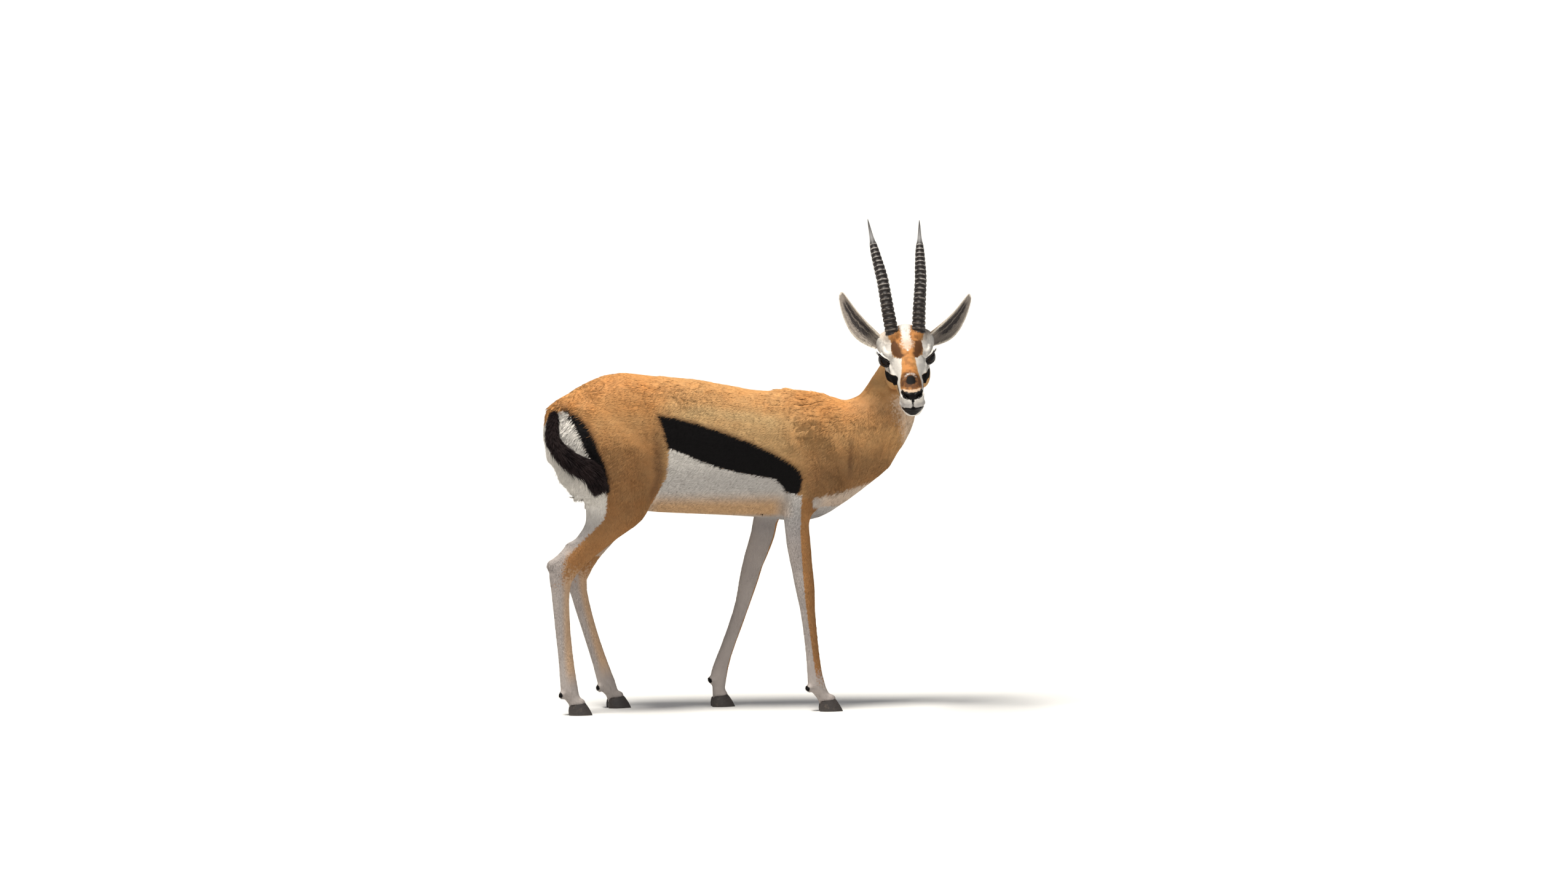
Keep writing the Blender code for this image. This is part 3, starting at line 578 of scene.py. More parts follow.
gap, along = reach_of(folded, ((0.1365, 0.0110, -0.0205), (0.1400, 0.0035, -0.0240), (0.1410, 0.0, -0.0270)))
push -= 0.0013 * ramp(0.0042, 0.0010, gap)
gap, along = reach_of(folded, ((0.1410, 0.0, -0.0255), (0.1410, 0.0, -0.0420)))
push -= 0.0016 * ramp(0.0028, 0.0004, gap)  # the groove of the upper lip
gap, along = reach_of(folded, MOUTH)
push -= (0.0030 - 0.0016 * along) * ramp(0.0026, 0.0006, gap)  # the parting of the lips
push += 0.0007 * hill(gap, 0.0052, 0.0030) * (1 - ramp(0.6, 1.0, along))
push -= 0.0016 * ramp(-0.0445, -0.0475, z) * ramp(0.120, 0.131, x)  # the lower lip sits back
push -= 0.0015 * hill(reach_of(folded, BEFORE_EYE)[0], 0, 0.007)
for _, height, centre, reach in MOUNDS:
    push += height * mound(centre, reach)
face_ridge = hill(np.abs(z + 0.006 + 0.22 * (x - 0.03)), 0, 0.007) * (y > 0.018)
push += 0.0014 * face_ridge * ramp(0.02, 0.04, x) * ramp(0.10, 0.07, x)
places += normals * (push * on_face)[:, None]

# %% Wrap the lids round the eyes


EYE_OUTWARD = 0.0022  # the globe stands out past the solid eye's place
LID_FRONT, LID_REAR, LID_UP, LID_DOWN = 0.0168, 0.0150, 0.0080, 0.0094
LID_SLANT = 0.22  # the front corner sits lower


def eye_frame(side):
    place = Vector((EYE_PLACE.x, side * (EYE_PLACE.y + EYE_OUTWARD), EYE_PLACE.z))
    return HEAD_FRAME @ Matrix.Translation(place) @ turned("Z", side * EYE_FACING)


def lid_share(in_eye, side):
    """How far out from the middle of the eye's opening a place is, 1 on the lids' edge, and how far above."""
    ahead, rise = -side * in_eye[:, 1], in_eye[:, 2]
    flat = np.hypot(in_eye[:, 0], ahead)
    u = EYE_RADIUS * np.arctan2(ahead, in_eye[:, 0])
    v = EYE_RADIUS * np.arctan2(rise, flat) + LID_SLANT * u
    reach_u = np.where(u > 0, LID_FRONT, LID_REAR)
    reach_v = np.where(v > 0, LID_UP, LID_DOWN)
    return (np.abs(u / reach_u) ** 2.1 + np.abs(v / reach_v) ** 1.9) ** 0.5, v


EYES = {"left": eye_frame(1), "right": eye_frame(-1)}
SIDES = {"left": 1, "right": -1}
lid_gap = np.full(len(places), 9.0)
for label, eye_at in EYES.items():
    in_eye = into(eye_at, places)
    radius = np.linalg.norm(in_eye, axis=1)
    share, above = lid_share(in_eye, SIDES[label])
    near = (radius < 0.036) & (in_eye[:, 0] > 0.001)
    share = np.where(near, share, 9.0)
    wrapped = EYE_RADIUS + 0.0017 + 0.0007 * hill(share, 1.22, 0.25)
    hold = 1 - ramp(1.15, 2.0, share)
    new_radius = radius + (wrapped - radius) * hold
    new_radius = np.where(share < 1.03, EYE_RADIUS + 0.0017 - 0.0050 * ramp(1.03, 0.86, share), new_radius)
    brow = 0.0020 * hill(share, 2.15, 0.55) * (above > 0) - 0.0010 * hill(share, 1.62, 0.22) * (above > 0)
    fold = -0.0008 * hill(share, 1.55, 0.25) * (above < 0)
    new_radius += (brow + fold) * ramp(0.036, 0.030, radius)
    scale = np.where(near, new_radius / np.maximum(radius, 1e-9), 1.0)
    there = out_of(eye_at, in_eye * scale[:, None])
    places = np.where(near[:, None], there, places)
    lid_gap = np.minimum(lid_gap, share)
skin_mesh.vertices.foreach_set("co", places.astype(np.float32).ravel())
skin_mesh.update()
normals = read_vectors(skin_mesh.vertex_normals, "vector")
print("deepest push", round(float(-push[on_face].min()) * 1000, 1), "mm")

# %% [markdown]
# ## The markings
# A Thomson's gazelle is read by its markings: rufous back, sandy flank, black flank band, white belly and
# rump, black tail beside a black stripe, rufous blaze with a black spot above the nose, a white face with a
# black cheek stripe. Each mark is a field in metres, positive inside and negative outside, made from a
# few widths and edges along the body. The finish turns the fields into crisp, slightly ragged edges.

# %% Edges along the body


def edge(at, *rows):
    """A boundary drawn by a few pairs of numbers, read at these places."""
    rows = np.array(rows)
    order = np.argsort(rows[:, 0])
    return np.interp(at, rows[order, 0], rows[order, 1])


HOCK_HEIGHT = 0.307


def hind_edge(z, side, top=1.0):
    """Where the white at the rear of a hind leg and thigh ends; it runs straight on above the top."""
    rear = edge(
        np.minimum(z, top), (0.06, -0.3215), (0.127, -0.3261), (0.199, -0.3283), (0.271, -0.3286),
        (0.307, -0.3241), (0.3425, -0.2902), (0.379, -0.2530), (0.395, -0.2465), (0.429, -0.2441),
        (0.445, -0.2500), (0.461, -0.2590), (0.493, -0.2725), (0.518, -0.2857), (0.544, -0.2952),
        (0.5644, -0.3045), (0.5843, -0.3129), (0.60, -0.322), (0.62, -0.34),
    )
    forward = edge(
        z, (0.09, 0.079), (0.16, 0.063), (0.24, 0.045), (0.307, 0.043), (0.343, 0.032), (0.379, 0.018),
        (0.44, 0),
    )
    return rear + np.where(side > 0, forward, 0.0)  # the left leg stands further forward


def body_marks(places, normals):
    """White and black on the trunk and neck, with the numbers that the legs need."""
    drawn = places - np.array(SHIFT)
    x, y, z = drawn.T
    side = np.where(y > 0, 1.0, -1.0)
    outward = side * normals[:, 1]
    band_top = edge(
        x, (-0.150, 0.586), (-0.138, 0.584), (-0.108, 0.578), (-0.066, 0.567), (-0.013, 0.549),
        (0.040, 0.528), (0.077, 0.510), (0.115, 0.489), (0.138, 0.470), (0.150, 0.452),
    )
    band_low = edge(
        x, (-0.150, 0.526), (-0.122, 0.521), (-0.098, 0.513), (-0.067, 0.499), (-0.024, 0.483),
        (0.018, 0.472), (0.061, 0.464), (0.088, 0.459), (0.100, 0.445), (0.110, 0.432), (0.128, 0.428),
        (0.150, 0.436),
    )
    thigh_front = edge(z, (0.40, -0.160), (0.468, -0.127), (0.52, -0.1235), (0.548, -0.1285), (0.582, -0.140))
    shoulder_front = edge(z, (0.42, 0.124), (0.435, 0.137), (0.457, 0.1415), (0.48, 0.132), (0.50, 0.120))
    band = np.minimum.reduce((band_top - z, z - band_low, x - thigh_front, shoulder_front - x))
    band = np.where(outward > -0.2, band, -0.02)
    # belly, brisket and throat
    elbow = edge(z, (0.42, 0.1335), (0.445, 0.1255), (0.46, 0.118))
    belly = np.minimum.reduce((band_low - z, x - thigh_front - 0.002, elbow - x))
    chest_low = edge(
        x, (0.10, 0.420), (0.168, 0.4195), (0.219, 0.4296), (0.263, 0.439), (0.284, 0.4448),
        (0.335, 0.440),
    )
    chest = np.minimum(0.30 * (chest_low - z), x - 0.162)
    throat_turn = edge(z, (0.50, 4), (0.53, 15), (0.552, 23), (0.575, 35), (0.60, 46), (0.65, 55), (0.69, 80))
    throat_turn = np.radians(throat_turn)
    facing = normals[:, 0] * np.cos(throat_turn) - normals[:, 1] * np.sin(throat_turn)
    need = edge(
        z, (0.50, 1.10), (0.53, 0.76), (0.552, 0.68), (0.575, 0.66), (0.60, 0.60), (0.63, 0.62),
        (0.65, 0.62), (0.72, 0.60),
    )
    throat = np.where((x > 0.24) & (z > 0.49), (facing - need) * 0.0085, -0.02)
    # rear white of the thighs, and the stripe before it
    rear = hind_edge(z, side)
    white_top = edge(x, (-0.37, 0.556), (-0.355, 0.562), (-0.347, 0.580), (-0.335, 0.592))
    rump = np.minimum((rear - x) * edge(z, (0.30, 0.12), (0.40, 0.45), (0.44, 1.0)), white_top - z)
    rump = np.where(z > 0.26, rump, -0.02)
    stripe_width = edge(
        z, (0.43, 0.002), (0.445, 0.010), (0.461, 0.0150), (0.4807, 0.0195), (0.5126, 0.0230),
        (0.5388, 0.0235), (0.5697, 0.0215), (0.5873, 0.012), (0.60, 0.0),
    )
    stripe = np.minimum.reduce((x - rear, 0.6 * (rear + stripe_width - x), z - 0.436, 0.5 * (0.595 - z)))
    # inner sides of the upper legs
    groin = np.where((x < 0.0) & (z < 0.50) & (z > 0.30), (-outward - 0.10) * 0.02, -0.02)
    under_shoulder = (x >= 0.0) & (z < 0.46) & (z > 0.30) & (np.abs(y) < 0.07)
    armpit = np.where(under_shoulder, (-outward - 0.12) * 0.02, -0.02)
    white = np.maximum.reduce((belly, chest, throat, rump, groin, armpit))
    black = np.maximum(band, stripe)
    return white, black, drawn, side, outward


DEWCLAWS = (  # x, side, z
    (0.1518, -1, 0.0445), (-0.0262, 1, 0.0515), (-0.3355, -1, 0.0400), (-0.2478, 1, 0.0400),
)


def leg_marks(drawn, normals, side, outward, white, black):
    """The fore legs' brown front stripe, the pale shanks and the dark dewclaws."""
    x, y, z = drawn.T
    fore = x > -0.09
    near_edge = edge(
        z, (0.05, 0.172), (0.079, 0.168), (0.118, 0.1625), (0.158, 0.157), (0.197, 0.151),
        (0.236, 0.1465), (0.276, 0.1430), (0.315, 0.1402), (0.355, 0.1380), (0.394, 0.1388),
        (0.429, 0.1400),
    )
    far_edge = edge(
        z, (0.05, -0.008), (0.079, 0.0), (0.118, 0.0105), (0.158, 0.0245), (0.197, 0.0365),
        (0.236, 0.047), (0.276, 0.0575), (0.315, 0.072), (0.355, 0.084), (0.394, 0.102), (0.429, 0.133),
    )
    leg_edge = np.where(side < 0, near_edge, far_edge)
    front_out = 0.60 * normals[:, 0] + 0.80 * outward
    leg_stripe = np.minimum.reduce((x - leg_edge, (front_out + 0.10) * 0.02, 0.05 * (z - 0.070)))
    leg_stripe = np.where(fore & (z < 0.45), leg_stripe, -0.02)
    hind_pale = 0.045 * (0.272 - z)  # brown fades into the pale shank over a hand's width
    pale = np.where(fore, np.where(z < 0.425, -leg_stripe, -0.02), hind_pale)
    achilles = np.where(~fore & (z >= 0.27) & (z < 0.40), (-normals[:, 0] - 0.55) * 0.02, -0.02)
    dew = np.full(len(x), -0.02)
    for claw_x, claw_side, claw_z in DEWCLAWS:
        near = 0.0052 - np.hypot(x - claw_x, z - claw_z)
        dew = np.maximum(dew, np.where((side == claw_side) & (normals[:, 0] < 0.5), near, -0.02))
    white = np.maximum.reduce((white, pale, achilles))
    on_leg = fore & (z < 0.40) & (np.abs(y) > 0.036) & (x - leg_edge < 0.035)
    return np.where(on_leg, -leg_stripe, white), np.maximum(black, dew)


# %% Edges on the face


def face_marks(places):
    """White, black and brown on the face, the moist parts, and the fields that its tones follow."""
    local = into(HEAD_FRAME, places)
    x, y, z = local[:, 0], np.abs(local[:, 1]), local[:, 2]
    blaze_side = edge(
        x, (-0.03, 0.036), (-0.005, 0.0345), (0.004, 0.0295), (0.016, 0.0312), (0.026, 0.0295),
        (0.034, 0.0235), (0.040, 0.0185), (0.046, 0.0150),
    )
    blaze_low = edge(
        x, (0.040, 0.0215), (0.045, 0.0203), (0.063, 0.0095), (0.075, 0.0025), (0.082, -0.004),
        (0.088, -0.0105), (0.098, -0.0145), (0.108, -0.0155), (0.118, -0.0150),
    )
    beside = np.where(x < 0.043, y - blaze_side, np.minimum(blaze_low - z, y - 0.012))
    stripe_top = edge(
        x, (-0.03, -0.012), (-0.01, -0.021), (0.0, -0.0235), (0.0145, -0.0205), (0.030, -0.0170),
        (0.049, -0.0102), (0.059, -0.0085), (0.068, -0.0080), (0.0745, -0.0115), (0.0785, -0.0225),
        (0.090, -0.0262), (0.105, -0.0300), (0.120, -0.0325),
    )
    behind = edge(
        z, (-0.02, -0.006), (-0.01, -0.026), (0.0, -0.048), (0.02, -0.062), (0.035, -0.058),
        (0.052, -0.045),
    )
    white = np.minimum.reduce((beside, z - stripe_top, x - behind, 0.118 - x))
    stripe_low = edge(
        x, (-0.008, -0.028), (0.0, -0.0320), (0.011, -0.0378), (0.0208, -0.0402), (0.045, -0.0345),
        (0.0635, -0.0262), (0.071, -0.0225), (0.0750, -0.0255), (0.0806, -0.0285), (0.090, -0.0300),
        (0.115, -0.0340),
    )
    cheek_stripe = np.minimum.reduce((stripe_top - z, z - stripe_low, x + 0.006, 0.106 - x, y - 0.015))
    jaw_line = edge(
        x, (-0.02, -0.084), (0.0, -0.077), (0.02, -0.071), (0.06, -0.058), (0.09, -0.045), (0.12, -0.03),
    )
    jaw = np.minimum(jaw_line - z, x + 0.010)
    lip_corner = edge(z, (-0.07, 0.085), (-0.045, 0.090), (-0.036, 0.094), (-0.030, 0.110))
    lips = np.minimum(x - lip_corner, -0.0165 - z)
    crown_width = edge(
        x, (-0.055, 0.004), (-0.045, 0.010), (-0.030, 0.0110), (-0.007, 0.0076), (0.004, 0.0088),
        (0.012, 0.0118), (0.021, 0.0100), (0.029, 0.0050), (0.036, -0.0030), (0.045, -0.020),
    )
    crispness = 0.34 - 0.16 * ramp(0.0, 0.02, x) + 0.5 * ramp(0.025, 0.036, x)
    crown = np.where(z > 0.0, (crown_width - y) * crispness, -0.02)
    spot_reach = np.hypot((x - 0.1030) / 0.0112, y / 0.0092)
    spot = np.where(z > -0.02, (1 - spot_reach) * 0.0045, -0.02)
    halo = np.where((z > -0.02) & (x < 0.094), -0.0001 - np.abs(spot_reach - 1.42) * 0.0022, -0.02)
    muzzle_top = edge(y, (0.0, 0.1270), (0.010, 0.1240), (0.020, 0.1120), (0.025, 0.103))
    nose_middle = edge(
        y, (0.0, -0.0193), (0.006, -0.0191), (0.012, -0.0179), (0.018, -0.0168), (0.0215, -0.0158),
    )
    nose_width = edge(
        y, (0.0, 0.0064), (0.008, 0.0059), (0.013, 0.0054), (0.018, 0.0044), (0.022, 0.0018),
        (0.024, -0.004),
    )
    nose = np.where(x > 0.112, nose_width - np.abs(z - nose_middle), -0.02)
    cream = np.where(z > nose_middle, np.minimum.reduce((x - muzzle_top, z - nose_middle, 0.1 - z)), -0.02)
    groove_width = edge(z, (-0.043, 0.0009), (-0.034, 0.0009), (-0.028, 0.0024), (-0.020, 0.0030))
    groove = np.where((x > 0.12) & (z < -0.019) & (z > -0.043), groove_width - y, -0.02)
    lip_low = -0.0606 + 0.0050 * (y / 0.0135) ** 2
    lip_top = edge(y, (0.0, -0.0412), (0.02, -0.0435))
    dark_lip = np.where(x > 0.110, np.minimum.reduce((lip_top - z, z - lip_low, 0.0208 - y)), -0.02)
    moist = np.maximum.reduce((nose, groove, dark_lip))
    folded = np.column_stack((x, y, z))
    brown = np.maximum(
        0.0092 - reach_of(folded, ((0.0120, 0.0262, 0.0335), (0.0255, 0.0210, 0.0285)))[0],
        0.0064 - reach_of(folded, ((0.0255, 0.0210, 0.0285), (0.0375, 0.0165, 0.0235)))[0],
    )
    nose_patch = np.minimum(x - 0.080, muzzle_top - x)
    white = np.maximum.reduce((white, jaw, lips, crown, cream, halo))
    black = np.maximum.reduce((cheek_stripe, spot, moist))
    top = np.minimum(np.where(x < 0.043, blaze_side - y, z - blaze_low), 0.1)
    return white, black, brown, moist, halo, nose_patch, top, local


# %% Put the marks together on the skin


def all_marks(places, normals, lid_gap):
    """Two rows of four numbers for each place: white, black, rufous, brown, then wet, grey, warm, lid gap.
    Brown, grey and warm also carry painted shade on the body.
    """
    white, black, drawn, side, outward = body_marks(places, normals)
    white, black = leg_marks(drawn, normals, side, outward, white, black)
    x, _, z = drawn.T
    back_height = edge(
        x, (-0.36, 0.60), (-0.25, 0.655), (-0.10, 0.655), (0.0, 0.640), (0.14, 0.628), (0.24, 0.608),
    )
    below_back = back_height - z
    saddle = 1 - ramp(0.010, 0.085, below_back)
    thigh = ramp(-0.10, -0.16, x)
    shoulder = ramp(0.08, 0.16, x)
    rufous = 0.12 + 0.46 * saddle + 0.46 * thigh * (1 - 0.5 * saddle) + 0.34 * shoulder * (1 - 0.4 * saddle)
    streak_height = edge(x, (-0.10, 0.592), (0.0, 0.583), (0.10, 0.566))
    pale_streak = hill(z - streak_height, 0, 0.020) * ramp(-0.12, -0.06, x)
    rufous = rufous * (1 - 0.9 * pale_streak * ramp(0.13, 0.07, x))
    neck = ramp(0.22, 0.30, x) * ramp(0.53, 0.60, z)
    rufous = rufous * (1 - neck) + 0.42 * neck
    rufous = np.where(z < 0.42, np.maximum(rufous, 0.66), rufous)
    # Painted shade: the lower shoulder, the thigh and the lower neck are darkened with brown; the fore legs'
    # tan is darkened below the elbow.
    dark = 0.60 * ramp(0.10, 0.17, x) * ramp(0.56, 0.46, z) + 0.52 * thigh * ramp(0.60, 0.47, z)
    dark = dark * (1 - neck) + 0.62 * neck * ramp(0.66, 0.57, z)
    dark = np.where(x > -0.09, np.maximum(dark, 0.46 * ramp(0.45, 0.39, z)), dark)
    # Painted shade in the crease before the shoulder.
    fold = hill(x - edge(z, (0.43, 0.234), (0.50, 0.239), (0.57, 0.243)), 0, 0.008) * hill(z, 0.50, 0.065)
    dark = dark + 0.30 * fold * (normals[:, 2] < 0.6)  # the crease before the shoulder
    on_head = head_share(places)
    face_white, face_black, brown, moist, halo, nose_patch, top, local = face_marks(places)
    mixed = lambda body, face: body + (face - body) * on_head
    white = mixed(np.clip(white, -0.02, 0.02), np.clip(face_white, -0.02, 0.02))
    body_black = np.clip(black, -0.02, 0.02)
    black = mixed(body_black, np.clip(face_black, -0.02, 0.02))
    lids = np.clip((1.24 - lid_gap) * 0.02, -0.02, 0.02)
    black = np.maximum(black, lids)
    on_top = ramp(-0.004, 0.006, top)
    rufous = mixed(rufous, 0.28 + 0.62 * on_top)
    mottled = 0.10 + 0.34 * ramp(0.42, 0.72, value_noise(places, 0.0055, 5))
    mottled += 0.22 * ramp(-0.010, -0.035, local[:, 0])
    brown_amount = 0.88 * ramp(-0.006, 0.004, brown)
    brown_amount += 0.72 * ramp(-0.006, 0.010, nose_patch) * on_top
    brown_amount += mottled * on_top
    brown_amount = mixed(dark, np.clip(brown_amount, 0, 0.95))
    lip_shade = hill(local[:, 2], -0.040, 0.012) * ramp(0.105, 0.125, local[:, 0])
    # Painted shade: the lower legs and the white low on the hind quarters are greyed, with a little random
    # variation.
    leg_shade_grey = 0.92 * ramp(0.43, 0.34, z)
    leg_shade_grey += 0.50 * ramp(0.53, 0.44, z) * ramp(0.33, 0.42, z) * ramp(-0.24, -0.14, x)
    leg_shade_grey += 0.12 * (value_noise(places, 0.02, 23) - 0.5) * ramp(0.42, 0.33, z)
    grey = np.maximum(mixed(leg_shade_grey, 0.10 + 0.5 * lip_shade), ramp(-0.001, 0.0005, halo) * on_head)
    wet = np.clip(0.5 + 250 * np.clip(moist, -0.02, 0.02), 0, 1) * (on_head > 0.5)
    wet = np.maximum(wet, ramp(1.16, 1.08, lid_gap))
    sooty = 0.75 * ramp(-0.011, 0.001, body_black) * (1 - on_head)  # brown hair round the black marks
    # Painted shade along the crease at the front of the thigh.
    crease = 0.34 * hill(x - edge(z, (0.40, -0.150), (0.468, -0.130), (0.60, -0.140)), -0.008, 0.018)
    crease = crease * ramp(0.585, 0.55, z) * ramp(0.40, 0.44, z) * (1 - on_head)
    brown_amount = np.clip(np.maximum(brown_amount, sooty) + crease, 0, 0.95)
    # Painted shade under the belly, warmed as painted light bounced up from below.
    belly_shade_and_bounce = 0.96 * ramp(0.440, 0.402, z) * ramp(0.376, 0.390, z)
    belly_shade_and_bounce *= ramp(-0.19, -0.13, x) * ramp(0.13, 0.08, x)
    # The cream on the chest is painted shade; on the front of the hind shank it is the coat's own buff, and a
    # little is laid on the lower legs.
    chest_shade_and_shank_buff = 0.45 * ramp(0.14, 0.20, x) * (z > 0.40) + 0.25 * ramp(0.26, 0.34, x)
    before_shank = ramp(-0.006, 0.008, x - hind_edge(z, side, HOCK_HEIGHT))
    shank_front = np.where(x < -0.09, before_shank, 0.0) * ramp(0.34, 0.28, z) * ramp(0.05, 0.10, z)
    chest_shade_and_shank_buff = chest_shade_and_shank_buff + 0.62 * shank_front + 0.12 * ramp(0.40, 0.30, z)
    crown_warm = 0.55 * ramp(-0.005, 0.022, local[:, 0]) * ramp(0.030, 0.036, local[:, 2])
    band_warm = 0.75 * ramp(0.112, 0.118, local[:, 0]) * ramp(-0.020, -0.016, local[:, 2])
    rim_warm = 0.45 * ramp(0.020, 0.045, np.abs(local[:, 1])) * ramp(0.026, 0.044, local[:, 2])
    warm = mixed(np.maximum(belly_shade_and_bounce, chest_shade_and_shank_buff), np.maximum.reduce((crown_warm, band_warm, rim_warm)))
    first = np.column_stack((white * 50, black * 50, rufous, brown_amount))
    second = np.column_stack((wet, grey, warm, lid_gap))
    return first, second


marks, touch = all_marks(places, normals, lid_gap)
store(skin_mesh, "marks", marks)
store(skin_mesh, "touch", touch)
print("white and black on", [int((marks[:, n] > 0).sum()) for n in (0, 1)], "points of the skin")

# %% [markdown]
# ## The coat's finish
# Skin and tufts share one node group, so that a mark runs through both without a step. It reads the stored
# fields, roughens their edges with fine noise, and mixes sandy, rufous, brown, white and black hair. It
# also paints shade and light on every tuft: darker roots, lighter tips and darker edges of locks.

# %% Build the shared group
# BROWN, GREY and CREAM are also painted shade: BROWN on the lower shoulder, thigh and neck, GREY on the legs,
# CREAM on the chest and under the belly.
SANDY = (0.62, 0.405, 0.190, 1.0)
RUFOUS = (0.60, 0.250, 0.070, 1.0)
BROWN = (0.095, 0.040, 0.018, 1.0)
WHITE = (0.84, 0.79, 0.72, 1.0)
CREAM = (0.56, 0.345, 0.18, 1.0)
GREY = (0.31, 0.290, 0.29, 1.0)
BLACK = (0.0030, 0.0021, 0.0022, 1.0)


class Wires:
    """Places nodes in a tree and links them with few words."""

    def __init__(self, tree):
        self.tree = tree

    def node(self, kind, **settings):
        made = self.tree.nodes.new(kind)
        for name, value in settings.items():
            setattr(made, name, value)
        return made

    def link(self, source, target):
        self.tree.links.new(source, target)

    def stored(self, name):
        """What the points of the mesh carry under this name."""
        return self.node("ShaderNodeAttribute", attribute_name=name)

    def own_place(self):
        """Where a point lies on its own mesh."""
        return self.node("ShaderNodeTexCoord").outputs["Object"]

    def parts(self, colour):
        """The three numbers of a colour."""
        made = self.node("ShaderNodeSeparateColor")
        self.link(colour, made.inputs[0])
        return made.outputs

    def relief(self, height, strength, distance, shader):
        """Small bumps on a shader, no deeper than the distance."""
        made = self.node("ShaderNodeBump")
        made.inputs["Strength"].default_value = strength
        made.inputs["Distance"].default_value = distance
        self.link(height, made.inputs["Height"])
        self.link(made.outputs["Normal"], shader.inputs["Normal"])

    def maths(self, operation, first, second=None, third=None):
        made = self.node("ShaderNodeMath", operation=operation)
        for socket, value in zip(made.inputs, (first, second, third)):
            if value is None:
                continue
            if isinstance(value, (int, float)):
                socket.default_value = value
            else:
                self.link(value, socket)
        return made.outputs[0]

    def step(self, value, low, high, to_low=0.0, to_high=1.0):
        made = self.node("ShaderNodeMapRange", interpolation_type="SMOOTHSTEP")
        self.link(value, made.inputs["Value"])
        for name, number in (("From Min", low), ("From Max", high), ("To Min", to_low), ("To Max", to_high)):
            made.inputs[name].default_value = number
        return made.outputs["Result"]

    def mix(self, share, first, second):
        made = self.node("ShaderNodeMix", data_type="RGBA")
        for socket, value in ((made.inputs[0], share), (made.inputs[6], first), (made.inputs[7], second)):
            if isinstance(value, (int, float, tuple)):
                socket.default_value = value
            else:
                self.link(value, socket)
        return made.outputs[2]

    def noise(self, where, scale, detail=2.0, roughness=0.5):
        made = self.node("ShaderNodeTexNoise")
        made.inputs["Scale"].default_value = scale
        made.inputs["Detail"].default_value = detail
        made.inputs["Roughness"].default_value = roughness
        self.link(where, made.inputs["Vector"])
        return made.outputs["Fac"]


def new_group(name, inputs, outputs):
    group = bpy.data.node_groups.new(name, "ShaderNodeTree")
    for label, kind in inputs:
        group.interface.new_socket(label, in_out="INPUT", socket_type=kind)
    for label, kind in outputs:
        group.interface.new_socket(label, in_out="OUTPUT", socket_type=kind)
    wires = Wires(group)
    return group, wires, wires.node("NodeGroupInput"), wires.node("NodeGroupOutput")


coat_group, w, given, result = new_group(
    "gazelle coat",
    (
        ("Marks", "NodeSocketColor"), ("Brown", "NodeSocketFloat"), ("Grey", "NodeSocketFloat"),
        ("Warm", "NodeSocketFloat"), ("Hair", "NodeSocketColor"),
    ),
    (("Colour", "NodeSocketColor"),),
)
where = w.own_place()
fields = w.parts(given.outputs["Marks"])
hair = w.parts(given.outputs["Hair"])
ragged = w.maths("SUBTRACT", w.noise(where, 260.0, 2.0), 0.5)
white_at = w.maths("MULTIPLY_ADD", ragged, 0.22, fields[0])
black_at = w.maths("MULTIPLY_ADD", ragged, 0.16, fields[1])
white_share = w.step(white_at, -0.05, 0.06)
black_share = w.step(black_at, -0.06, 0.03)
patchy = w.maths("MULTIPLY_ADD", w.maths("SUBTRACT", w.noise(where, 34.0, 3.0), 0.5), 0.55, fields[2])
tan = w.mix(w.maths("MINIMUM", w.maths("MAXIMUM", patchy, 0.0), 1.0), SANDY, RUFOUS)
tan = w.mix(given.outputs["Brown"], tan, BROWN)
pale = w.mix(given.outputs["Warm"], w.mix(given.outputs["Grey"], WHITE, GREY), CREAM)
colour = w.mix(white_share, tan, pale)
colour = w.mix(black_share, colour, BLACK)
# Painted shade deep in the coat and a painted highlight at the tips: tufts are darker at the root and lighter
# at the tip. The tone adds painted shade at the edges of locks.
lit = w.maths("MULTIPLY_ADD", hair[0], 0.20, 0.90)  # root to tip
lit = w.maths("MULTIPLY", lit, w.maths("MULTIPLY_ADD", hair[1], 0.42, 0.79))
tinted = w.node("ShaderNodeVectorMath", operation="SCALE")
w.link(colour, tinted.inputs[0])
w.link(lit, tinted.inputs["Scale"])
w.link(tinted.outputs[0], result.inputs["Colour"])
print("coat group:", len(coat_group.nodes), "nodes")

# %% Finish the skin


def coat_material(name, hair_name=None, roughness=0.62, bump=None):
    made, shader = principled(name, (0.5, 0.3, 0.15), roughness)
    wires = Wires(made.node_tree)
    marks_in = wires.stored("marks")
    touch_in = wires.stored("touch")
    split = wires.parts(touch_in.outputs["Color"])
    group = wires.node("ShaderNodeGroup", node_tree=coat_group)
    wires.link(marks_in.outputs["Color"], group.inputs["Marks"])
    wires.link(marks_in.outputs["Alpha"], group.inputs["Brown"])
    wires.link(split[1], group.inputs["Grey"])
    wires.link(split[2], group.inputs["Warm"])
    if hair_name:
        hair_in = wires.stored(hair_name)
        wires.link(hair_in.outputs["Color"], group.inputs["Hair"])
    else:
        group.inputs["Hair"].default_value = (0.45, 0.45, 0.0, 1.0)
    wires.link(group.outputs["Colour"], shader.inputs["Base Color"])
    rough = wires.step(split[0], 0.0, 1.0, roughness, 0.30)
    wires.link(rough, shader.inputs["Roughness"])
    shader.inputs["Specular IOR Level"].default_value = 0.12
    if bump:
        strength, distance, scale = bump
        wires.relief(wires.noise(wires.own_place(), scale, 3.0, 0.6), strength, distance, shader)
    return made, shader


skin_finish, _ = coat_material("skin and short hair", bump=(0.6, 0.0006, 900.0))
skin = piece_of("skin", skin_mesh, skin_finish, FLESH)

